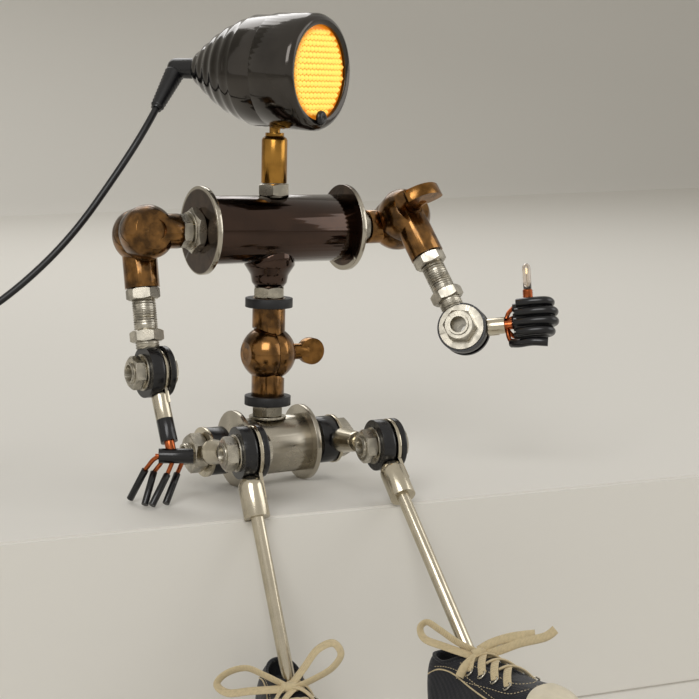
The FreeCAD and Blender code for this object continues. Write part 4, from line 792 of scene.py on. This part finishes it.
class LAMP_OT_cord(bpy.types.Operator):
    """Lays the cord from the plug in the head to its coil on the desk"""

    bl_idname = "lamp.cord"
    bl_label = "Cord"

    def execute(self, context):
        sizes = context.scene.lamp_sizes
        look = context.scene.lamp_colours
        places = [*CORD_ROUTE, *coil_points(), *CORD_TAIL]
        curve = bpy.data.curves.new("power_cord", "CURVE")
        curve.dimensions = "3D"
        curve.bevel_depth = sizes.cord / 2
        curve.bevel_resolution = 5
        curve.use_fill_caps = True
        curve.resolution_u = 8
        spline = curve.splines.new("NURBS")
        spline.points.add(len(places) - 1)
        for point, place in zip(spline.points, places):
            point.co = (*(value * MM for value in place), 1.0)
        spline.order_u = 3
        spline.use_endpoint_u = True
        finish = moulded("cord jacket", look.moulding, 0.35, 0.6, 0.06)
        curve.materials.append(finish)
        cord = bpy.data.objects.new("power_cord", curve)
        context.scene.collection.objects.link(cord)
        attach(cord, "head")
        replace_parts(cord, "cord_tube", "cord_coil")
        made = bmesh.new()
        lathe(made, RELIEF_OUTLINE, 32)
        relief_mesh = to_mesh("supply_relief", made, frame_of(SUPPLY_END, ("Y", -90)))
        relief = piece("supply_relief", relief_mesh, "head", finish)
        ribs = [
            (PLUG_SLEEVE - SLEEVE_TAPER * n + (RIB_DEPTH if n % 2 else -RIB_DEPTH), n + 3.0)
            for n in range(PLUG_RIBS)
        ]
        made = bmesh.new()
        lathe(made, [(0, 2.0), *ribs, (0, PLUG_RIBS + 3.6)], 32)
        piece("plug_ribs", to_mesh("plug_ribs", made, PLUG_CORNER), "head", finish)
        return {"FINISHED"}


# Threads, lens and bulb

ARM_THREAD_RADIUS = 5.25
BOLT_THREAD_RADIUS = 4.85
SHOULDER_DEPTH = {"right": 6.64, "left": -6.64}  # along the lift's axis to the arm's middle line
ARM_THREAD_START = 30.25  # under the nut at the shoulder, in millimetres from the shoulder
ARM_THREAD_END = 11.0  # above the elbow's hub, in millimetres from the elbow
BOLT_THREADS = {  # joint: the body of its bolt, and where the bare thread starts and ends along the axis
    "right_elbow": ("right_arm", -9.8, -10.9),
    "right_knee": ("right_thigh", -9.83, -10.93),
    "left_knee": ("left_thigh", -9.86, -10.96),
    "right_hip": ("pelvis", -8.0, -10.8),
    "left_hip": ("pelvis", 8.0, 10.8),
}
THREAD_DEPTH = 0.42  # share of the pitch


def thread_stretches():
    """The name, body, first and last point and radius of every bare thread, in millimetres."""
    stretches = []
    for side, depth in SHOULDER_DEPTH.items():
        shoulder = joint_place(f"{side}_shoulder_lift") + joint_axis(f"{side}_shoulder_lift") * depth
        elbow = joint_place(f"{side}_elbow")
        along = (elbow - shoulder).normalized()
        first, last = shoulder + along * ARM_THREAD_START, elbow - along * ARM_THREAD_END
        stretches.append((f"{side}_arm_thread", f"{side}_arm", first, last, ARM_THREAD_RADIUS))
    for name, (body, near, far) in BOLT_THREADS.items():
        first, last = (joint_place(name) + joint_axis(name) * reach for reach in (near, far))
        stretches.append((f"{name}_thread", body, first, last, BOLT_THREAD_RADIUS))
    return stretches


class LAMP_OT_threads(bpy.types.Operator):
    """Cuts the fine threads on the hollow pipe between its nuts"""

    bl_idname = "lamp.threads"
    bl_label = "Pipe threads"

    def execute(self, context):
        sizes = context.scene.lamp_sizes
        finish = metal("cut thread", context.scene.lamp_colours.zinc, 0.5, 0.3, 3.0)
        tree = thread_tree(finish)
        for name, body, first, last, radius in thread_stretches():
            start = first * MM
            along = last * MM - start
            values = {
                "Length": along.length, "Radius": radius * MM, "Pitch": sizes.thread_pitch,
                "Depth": sizes.thread_pitch * THREAD_DEPTH,
            }
            mesh = grown(tree, bpy.data.meshes.new(name), values)
            mesh.transform(Matrix.Translation(start) @ along.to_track_quat("Z", "Y").to_matrix().to_4x4())
            item = piece(name, mesh, body, finish)
            for polygon in item.data.polygons:
                polygon.use_smooth = False
        return {"FINISHED"}


LENS_FACE = 68.9  # where the prisms' middles stand at the rim, along the shell in millimetres
LENS_RADIUS = 22.0
LENS_RISE = 1.1
ROW_SPACING = 0.866  # of the pitch, as in a honeycomb
PRISM_HEIGHT = 0.0014
CLIP_PLACE = (0, -21.3, 70.3)
CLIP_OUTLINE = [(0, 0.6), (3.4, 0.6), (3.6, 1.2), (3.4, 2.2), (2.6, 2.9), (1.2, 3.1), (1.0, 2.6), (0, 2.6)]


class LAMP_OT_lens(bpy.types.Operator):
    """Presses the honeycomb of prisms into the lens"""

    bl_idname = "lamp.lens"
    bl_label = "Lens prisms"

    def execute(self, context):
        look = context.scene.lamp_colours
        pitch = context.scene.lamp_sizes.prism_pitch / MM
        finish = lit_lens("lit acrylic prisms", look.lens, look.amber, 0.55)
        points = []
        rows = int(LENS_RADIUS / (pitch * ROW_SPACING)) + 1
        for row in range(-rows, rows + 1):
            for column in range(-rows, rows + 1):
                x = (column + (row % 2) / 2) * pitch
                y = row * pitch * ROW_SPACING
                away = math.hypot(x, y)
                if away < LENS_RADIUS - pitch * 0.42:
                    points.append((x, y, LENS_FACE + LENS_RISE * (1 - (away / LENS_RADIUS) ** 2)))
        base = dotted(points, [(0, 0, 1)] * len(points), Matrix.Identity(4))
        mesh = grown(prism_tree(finish), base, {"Width": pitch * MM, "Height": PRISM_HEIGHT})
        mesh.transform(BARREL)
        prisms = piece("lens_prisms", mesh, "head", finish)
        for polygon in prisms.data.polygons:
            polygon.use_smooth = False
        clip = bmesh.new()
        lathe(clip, CLIP_OUTLINE, 40)
        black = moulded("clip moulding", look.moulding, 0.22)
        button = piece("lens_clip", to_mesh("lens_clip", clip, BARREL @ frame_of(CLIP_PLACE)), "head", black)
        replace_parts(button, "lens_screw")
        return {"FINISHED"}


# Outlines of the bulb as (radius, height) from the foot of its cap, and the line of one post
CAP_RIDGES = [(2.55 if n % 2 else 2.2, 0.5 + 0.45 * n) for n in range(10)]
CAP_OUTLINE = [(0, 0), (1.6, 0), *CAP_RIDGES, (2.2, 5.0), (1.9, 5.5), (0, 5.5)]
GLASS_OUTSIDE = [(0.0, 17.9), (0.9, 17.7), (1.6, 17.0), (2.0, 15.9), (2.1, 14.5), (2.05, 9.0), (1.95, 5.2)]
GLASS_INSIDE = [(radius - 0.28, height - 0.25) for radius, height in reversed(GLASS_OUTSIDE[1:])]
POST_LINE = [(0.45, 5), (0.4, 9), (0.75, 12.8)]
FILAMENT_FOOT = 12.8
FILAMENT_RADIUS = 0.75


class LAMP_OT_bulb(bpy.types.Operator):
    """Makes the small glass bulb in the left fist, with its filament and copper cap"""

    bl_idname = "lamp.bulb"
    bl_label = "Fist bulb"

    def execute(self, context):
        look = context.scene.lamp_colours

        def add(name, made, finish):
            return piece(name, to_mesh(name, made, BULB), "left_forearm", finish)

        made = bmesh.new()
        lathe(made, CAP_OUTLINE, 32)
        add("bulb_cap", made, metal("copper bulb cap", look.wire, 0.6, 0.22, 3.0))
        made = bmesh.new()
        lathe(made, [*GLASS_OUTSIDE, *GLASS_INSIDE, (0.0, 17.5)], 32)
        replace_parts(add("bulb_glass", made, clear_glass("bulb glass")), "left_hand_bulb")
        made = bmesh.new()
        for side in (-1, 1):
            line = smooth_line([(reach * side, 0, height) for reach, height in POST_LINE])
            sweep(made, line, oval(0.26, 0.26, 0, 6), (0, 1, 0))
        add("bulb_posts", made, metal("nickel wire", look.tin, 0.8, 0.2))
        made = bmesh.new()
        turns = [
            (FILAMENT_RADIUS * math.cos(n / 5 * math.pi), 0.3 * math.sin(n * 1.3), FILAMENT_FOOT + 0.1 * n)
            for n in range(26)
        ]
        sweep(made, smooth_line(turns, 3), oval(0.3, 0.3, 0, 6), (0.3, 1, 0))
        add("bulb_filament", made, hot_wire("lit filament", "#FFE7B0"))
        return {"FINISHED"}


# Shoes, drawn in their own frame: the toe points along -Y and the sole is the plane z = -24

INSOLE = -18.0  # height where the upper meets the sole
FULLNESS = 0.763  # how square the upper's cross section is: 1 is round, 0 is a box
UPPER_STATIONS = [  # distance along the shoe, half width and height of the top, from heel to toe
    (16.2, 0.2, -3.0), (15.3, 5.4, 2.2), (12.0, 9.9, 4.8), (4.0, 11.1, 5.2), (-8.0, 11.8, 4.2),
    (-22.0, 13.2, 0.4), (-36.0, 13.2, -4.6), (-49.0, 12.8, -7.2), (-57.0, 9.9, -10.2), (-61.4, 4.9, -13.6),
    (-62.6, 0.2, -16.6),
]
MOUTH = (3.4, 7.4, 10.2)  # centre along the shoe and half sizes of the opening for the leg
MOUTH_FLOOR = -6.0  # the leg's opening is only cut above this height
HEEL = (4.0, 11.9)  # centre and radius of the sole's two ends
TOE = (-49.0, 14.1)
THROAT = (-6.0, -33.0)  # where the lacing gap starts and ends
THROAT_HALF_WIDTH = 5.0
THROAT_DEPTH = 0.9


def shoe_size(station):
    """The half width and top of the upper at a station, on a smooth line through the table."""
    table = UPPER_STATIONS
    station = min(max(station, table[-1][0]), table[0][0])
    for n in range(len(table) - 1):
        if table[n][0] >= station >= table[n + 1][0]:
            break
    t = (table[n][0] - station) / (table[n][0] - table[n + 1][0])
    result = []
    for column in (1, 2):
        low, high = table[n][column], table[n + 1][column]
        before = table[max(n - 1, 0)]
        after = table[min(n + 2, len(table) - 1)]
        span = table[n][0] - table[n + 1][0]
        first = (high - before[column]) / max(before[0] - table[n + 1][0], 1e-6) * span
        last = (after[column] - low) / max(table[n][0] - after[0], 1e-6) * span
        if n == 0 or n == len(table) - 2:
            first = last = high - low
        result.append(
            (2 * t ** 3 - 3 * t * t + 1) * low + (t ** 3 - 2 * t * t + t) * first
            + (3 * t * t - 2 * t ** 3) * high + (t ** 3 - t * t) * last
        )
    return result


def on_upper(station, angle, swell=0.0):
    """A point of the upper: the angle runs from the right edge (0) over the top to the left edge (180)."""
    half, top = shoe_size(station)
    across, up = math.cos(math.radians(angle)), math.sin(math.radians(angle))
    x = half * math.copysign(abs(across) ** FULLNESS, across)
    z = INSOLE + (top - INSOLE) * abs(up) ** FULLNESS
    return Vector((x + across * swell, station, z + up * swell))


def upper_angle(station, x):
    """The angle of the upper's surface at a distance from its middle line."""
    half, _ = shoe_size(station)
    across = min(abs(x) / half, 1.0) ** (1 / FULLNESS)
    return math.degrees(math.acos(math.copysign(across, x)))


def throat(station, x):
    """How deep the lacing gap lies under the eyestays, in millimetres."""
    start, stop = THROAT
    along = min(max((start - station) / 3.0, 0), 1) * min(max((station - stop) / 4.0, 0), 1)
    return THROAT_DEPTH * along * min(max((THROAT_HALF_WIDTH - abs(x)) / 0.8, 0), 1)


HEEL_END, TOE_END = UPPER_STATIONS[0][0], UPPER_STATIONS[-1][0]


def shell(made, rows, columns, swell, start=HEEL_END, stop=TOE_END, mouth=True, sink=None):
    """The surface of the upper between two stations, open for the leg where it has a mouth."""
    middle, reach = (start + stop) / 2, (start - stop) / 2
    grid = []
    for row in range(rows + 1):
        station = middle + reach * math.cos(math.pi * row / rows)
        line = []
        for column in range(columns + 1):
            point = on_upper(station, 180.0 * column / columns, swell)
            point.z -= throat(station, point.x)
            if sink is not None and point.z > sink:
                point.z = sink
            line.append(made.verts.new(point))
        grid.append(line)
    for low, high in zip(grid, grid[1:]):
        for n in range(columns):
            face = made.faces.new((low[n], low[n + 1], high[n + 1], high[n]))
            centre = face.calc_center_median()
            inside = (centre.x / MOUTH[1]) ** 2 + ((centre.y - MOUTH[0]) / MOUTH[2]) ** 2 < 1
            if mouth and inside and centre.z > MOUTH_FLOOR:
                made.faces.remove(face)
    bmesh.ops.delete(made, geom=[v for v in made.verts if not v.link_faces], context="VERTS")


def collar_line(swell=0.2):
    """The rim of the leg's opening."""
    line = []
    for n in range(48):
        angle = 2 * math.pi * n / 48
        x, y = MOUTH[1] * math.cos(angle), MOUTH[0] + MOUTH[2] * math.sin(angle)
        line.append(on_upper(y, upper_angle(y, x), swell))
    return line


def sole_ring(made, grow, height, steps=96):
    """One ring of the sole's outline, which is two round ends joined by straight sides."""
    ring = []
    for n in range(steps):
        across, along = math.cos(2 * math.pi * n / steps), math.sin(2 * math.pi * n / steps)
        centre, radius = max((HEEL, TOE), key=lambda end: end[1] + along * end[0])
        ring.append(made.verts.new((across * (radius + grow), centre + along * (radius + grow), height)))
    return ring


def sole_slab(made, profile, closed=False):
    """A slab or band of the sole from its (growth, height) profile."""
    rings = [sole_ring(made, grow, height) for grow, height in profile]
    pairs = zip(rings, rings[1:] + rings[:1]) if closed else zip(rings, rings[1:])
    for low, high in pairs:
        for n in range(len(low)):
            following = (n + 1) % len(low)
            made.faces.new((low[n], low[following], high[following], high[n]))
    if not closed:
        made.faces.new(rings[0])
        made.faces.new(rings[-1])


SEAMS = [  # lines of stitching as (station, angle) points on the upper's right side
    [(9, 44), (2, 46), (-6, 43), (-14, 36), (-24, 26), (-32, 15), (-36, 6)],
    [(-5, 58), (-12, 61), (-22, 64), (-34, 66), (-39, 76), (-41, 90)],
    [(-5, 33), (-13, 30), (-24, 33), (-36, 38), (-43, 58), (-45, 88)],
]
PIPING = [(12, 33), (6, 40), (0, 40), (-6, 35), (-14, 26), (-24, 17), (-33, 9), (-39, 3)]
EYELETS = [-13.0, -20.0, -27.0, -34.0]
EYELET_REACH = 9.2  # from the shoe's middle line, in millimetres
STITCH_STEP = 1.5
SOLE_PROFILE = [  # growth beyond the outline and height, from the tread up and back in
    (-2.4, -24.0), (-0.9, -24.0), (-0.3, -23.6), (0.0, -22.8), (0.05, -21.0), (0.05, -19.6), (0.0, -18.6),
    (-0.35, -18.1), (-1.2, -17.9), (-2.6, -18.2),
]
STRIPE_PROFILE = [(-0.2, -19.9), (0.2, -19.8), (0.28, -19.5), (0.2, -19.2), (-0.2, -19.1)]
CANVAS_WALL = 0.9
TOE_CAP_START = -46.5


def both_sides(points):
    """A line of (station, angle) points and its mirror on the shoe's other side."""
    return points, [(station, 180 - angle) for station, angle in points]


class LAMP_OT_shoes(bpy.types.Operator):
    """Sews the two canvas shoes with their rubber soles and toe caps"""

    bl_idname = "lamp.shoes"
    bl_label = "Canvas shoes"

    def execute(self, context):
        look = context.scene.lamp_colours
        canvas = woven("dark cotton canvas", look.canvas, 0.62)
        lining = woven("cotton lining", look.canvas, 0.9, 0.35)
        rubber = moulded("cream rubber", look.cream, 0.45, 0.6, 0.1)
        stripe = moulded("dark foxing stripe", look.canvas, 0.5)
        trim = woven("cotton piping", look.cotton, 0.5, 0.75)
        thread = woven("sewing thread", look.cotton, 0.3, 0.8)
        steel = metal("eyelet steel", look.zinc, 0.6, 0.22, 3.0)
        rings = eyelet_tree(steel)
        stitches = stitch_tree(thread)
        for side, place in SHOES.items():
            body = f"{side}_lower_leg"

            def add(name, made, finish):
                return piece(f"{side}_{name}", to_mesh(name, made, place), body, finish)

            made = bmesh.new()
            shell(made, 96, 56, 0.0)
            upper = add("canvas_upper", made, canvas)
            self.thicken(upper, CANVAS_WALL)
            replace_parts(upper, f"{side}_shoe_upper")
            made = bmesh.new()
            shell(made, 60, 36, -1.6, HEEL_END - 1.8, TOE_END + 2.1, False, -4.5)
            bmesh.ops.holes_fill(made, edges=[edge for edge in made.edges if edge.is_boundary], sides=0)
            add("shoe_lining", made, lining)
            made = bmesh.new()
            shell(made, 30, 48, 0.75, TOE_CAP_START, TOE_END, False)
            self.thicken(add("toe_cap", made, rubber), CANVAS_WALL)
            made = bmesh.new()
            sole_slab(made, SOLE_PROFILE)
            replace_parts(add("rubber_sole", made, rubber), f"{side}_shoe_sole")
            made = bmesh.new()
            sole_slab(made, STRIPE_PROFILE, True)
            add("foxing_stripe", made, stripe)
            made = bmesh.new()
            sweep(made, collar_line(), oval(1.5, 1.5, 0, 10), (0, 0, 1), True)
            add("collar_binding", made, canvas)
            made = bmesh.new()
            for line in both_sides(PIPING):
                points = smooth_line([on_upper(station, angle, 0.1) for station, angle in line])
                sweep(made, points, oval(0.7, 0.7, 0, 8), (0, 0, 1))
            add("piping", made, trim)
            self.sew(side, place, body, rings, stitches, steel, thread)
        return {"FINISHED"}

    def thicken(self, item, millimetres):
        """Gives a sheet its thickness on the inside."""
        wall = item.modifiers.new("cloth thickness", "SOLIDIFY")
        wall.thickness = millimetres * MM
        wall.offset = -1.0

    def sew(self, side, place, body, rings, stitches, steel, thread):
        """Eyelets along both eyestays and rows of stitches along the seams."""
        spots = [(y, upper_angle(y, x)) for y in EYELETS for x in (EYELET_REACH, -EYELET_REACH)]
        points = [on_upper(y, angle, 0.25) for y, angle in spots]
        facings = [(math.cos(math.radians(angle)), 0.25, math.sin(math.radians(angle))) for _, angle in spots]
        mesh = grown(rings, dotted(points, facings, place), {"Radius": 0.0019, "Wire": 0.00045})
        piece(f"{side}_eyelets", mesh, body, steel)
        dots, along = [], []
        for seam in SEAMS:
            for line in both_sides(seam):
                way = smooth_line([on_upper(station, angle, 0.12) for station, angle in line], 40)
                travelled = 0.0
                for first, last in zip(way, way[1:]):
                    travelled += (last - first).length
                    if travelled > STITCH_STEP:
                        travelled = 0.0
                        dots.append(last)
                        along.append(last - first)
        mesh = grown(stitches, dotted(dots, along, place), {"Thickness": 0.00018, "Length": 0.00055})
        piece(f"{side}_stitches", mesh, body, thread)


# Laces, drawn in the shoe's frame

LACES = {  # points of each loop and loose end of the bow
    "right": {
        "outer_loop": [(-3.3, -10.7, 4.5), (-11.9, -4.8, 7.6), (-18.7, 0.4, 8.9), (-26.2, 3.9, 5.3),
                       (-30.6, 3.6, 0.5), (-26.7, -1.0, -1.8), (-17.2, -5.6, 0.7), (-4.5, -11.7, 3.7)],
        "inner_loop": [(-0.8, -11.2, 5.5), (4.8, -9.2, 11.7), (10.9, -7.4, 18.9), (17.9, -7.7, 21.8),
                       (21.0, -10.5, 17.5), (16.7, -12.2, 12.0), (8.4, -13.1, 8.0), (-0.4, -12.9, 4.4)],
    },
    "left": {
        "inner_loop": [(-1.0, -10.8, 6.0), (-6.3, -4.4, 11.0), (-9.4, 2.4, 16.4), (-11.5, 7.5, 19.8),
                       (-13.2, 10.4, 17.4), (-12.8, 8.4, 12.6), (-9.4, 0.6, 9.2), (-3.5, -10.4, 4.6)],
        "upper_end": [(0.4, -10.8, 6.4), (4.4, -15.3, 9.3), (9.9, -22.3, 11.4), (17.1, -29.4, 11.9)],
        "lower_end": [(0.7, -11.2, 4.0), (5.9, -18.3, 6.1), (11.5, -25.2, 8.7), (18.6, -33.6, 10.6),
                      (22.0, -37.0, 13.5)],
        "short_end": [(-1.0, -11.8, 4.4), (-5.4, -12.0, 3.6), (-10.0, -11.0, 0.8), (-12.4, -10.0, -3.0)],
    },
}
KNOTS = {  # points of the thick turn of lace round the middle of the bow
    "right": [(-5.0, -10.9, 4.2), (-2.2, -13.0, 5.0), (1.2, -12.2, 4.6)],
    "left": [(-3.8, -10.8, 5.2), (-1.0, -12.4, 5.8), (2.3, -12.0, 4.6)],
}
BOW_FACING = Vector((-0.495, -0.857, 0.144))  # where the bow's broad side faces, to the figure's front right
LACE_THICKNESS = 1.3
LOOP_LEAN = math.radians(40)
END_LEAN = math.radians(12)
CROSSING_START = 3.6  # how far past the middle line a crossing starts under the other lace
CROSSING_END = 8.9  # the lace dips into its eyelet here


class LAMP_OT_laces(bpy.types.Operator):
    """Laces the shoes and ties the soft cotton laces in bows"""

    bl_idname = "lamp.laces"
    bl_label = "Laces"

    def execute(self, context):
        width = context.scene.lamp_sizes.lace_width / MM
        finish = woven("flat cotton lace", context.scene.lamp_colours.cotton, 0.5, 0.72)
        for side, place in SHOES.items():
            made = bmesh.new()
            toward = place.to_3x3().transposed() @ BOW_FACING
            for name, points in LACES[side].items():
                lean = LOOP_LEAN if "loop" in name else END_LEAN
                sweep(made, smooth_line(points, 10), oval(width, LACE_THICKNESS, lean), toward)
            sweep(made, smooth_line(KNOTS[side], 8), oval(width * 1.1, 3.2), toward)
            for first, last in zip([-11.0, *EYELETS], EYELETS):
                for sign in (-1, 1):
                    line = self.crossing(first, last, sign)
                    sweep(made, line, oval(width * 0.95, LACE_THICKNESS), (0, 0.25, 1))
            laces = piece(f"{side}_lace_bow", to_mesh("lace_bow", made, place), f"{side}_lower_leg", finish)
            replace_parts(laces, f"{side}_shoe_lace")
        return {"FINISHED"}

    def crossing(self, first, last, sign):
        """One lace from the middle of the tongue over to its eyelet, on top where the sign is positive."""
        rise = 2.0 if sign > 0 else 1.3
        points = []
        for share in (0.0, 0.25, 0.5, 0.75, 1.0):
            x = sign * (CROSSING_END * share - CROSSING_START * (1 - share))
            y = first + 2.0 + (last - first - 2.0) * share
            lift = 0.4 + rise * math.sin(math.pi * min(share * 1.2, 1.0)) ** 0.7
            points.append(on_upper(y, upper_angle(y, x), lift if share < 1 else -0.3))
        return smooth_line(points, 6)


KEY_ROUNDING = 5  # a cast key's edges are this much rounder than a machined edge
SHARP_ANGLE = math.radians(35)


class LAMP_OT_finishes(bpy.types.Operator):
    """Gives every machined node its finish and rounds its edges"""

    bl_idname = "lamp.finishes"
    bl_label = "Metal and plastic finishes"

    def execute(self, context):
        edge = context.scene.lamp_sizes.edge
        for made, names in finishes():
            for name in names:
                item = frame["nodes"][name]
                item.data.materials.clear()
                item.data.materials.append(made)
                soften(item, edge * (KEY_ROUNDING if name.endswith("_key") else 1))
        return {"FINISHED"}


def soften(item, edge):
    """Merges a node's triangles and rounds its sharp edges, without touching its own mesh."""
    weld = item.modifiers.new("one skin", "WELD")
    weld.merge_threshold = 1e-6
    bevel = item.modifiers.new("rounded edges", "BEVEL")
    bevel.width = edge
    bevel.segments = 2
    bevel.limit_method = "ANGLE"
    bevel.angle_limit = SHARP_ANGLE
    bevel.use_clamp_overlap = True
    bevel.harden_normals = True


class LAMP_PT_panel(bpy.types.Panel):
    """The lamp's sizes, colours and pieces"""

    bl_label = "Pipe robot lamp"
    bl_space_type = "VIEW_3D"
    bl_region_type = "UI"
    bl_category = "Lamp"

    def draw(self, context):
        for operator in OPERATORS:
            self.layout.operator(operator.bl_idname)
        for group in (context.scene.lamp_sizes, context.scene.lamp_colours):
            for name in group.bl_rna.properties.keys():
                if name not in ("rna_type", "name"):
                    self.layout.prop(group, name)


OPERATORS = (
    LAMP_OT_stage, LAMP_OT_cord, LAMP_OT_finishes, LAMP_OT_threads, LAMP_OT_lens, LAMP_OT_bulb, LAMP_OT_shoes,
    LAMP_OT_laces,
)
CLASSES = (LampColours, LampSizes, *OPERATORS, LAMP_PT_panel)


def register():
    for item in CLASSES:
        bpy.utils.register_class(item)
    bpy.types.Scene.lamp_colours = bpy.props.PointerProperty(type=LampColours)
    bpy.types.Scene.lamp_sizes = bpy.props.PointerProperty(type=LampSizes)


def unregister():
    del bpy.types.Scene.lamp_colours
    del bpy.types.Scene.lamp_sizes
    for item in reversed(CLASSES):
        bpy.utils.unregister_class(item)


def main():
    """Registers the add-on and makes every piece."""
    register()
    for operator in OPERATORS:
        area, word = operator.bl_idname.split(".")
        getattr(getattr(bpy.ops, area), word)()


if __name__ == "__main__":
    main()
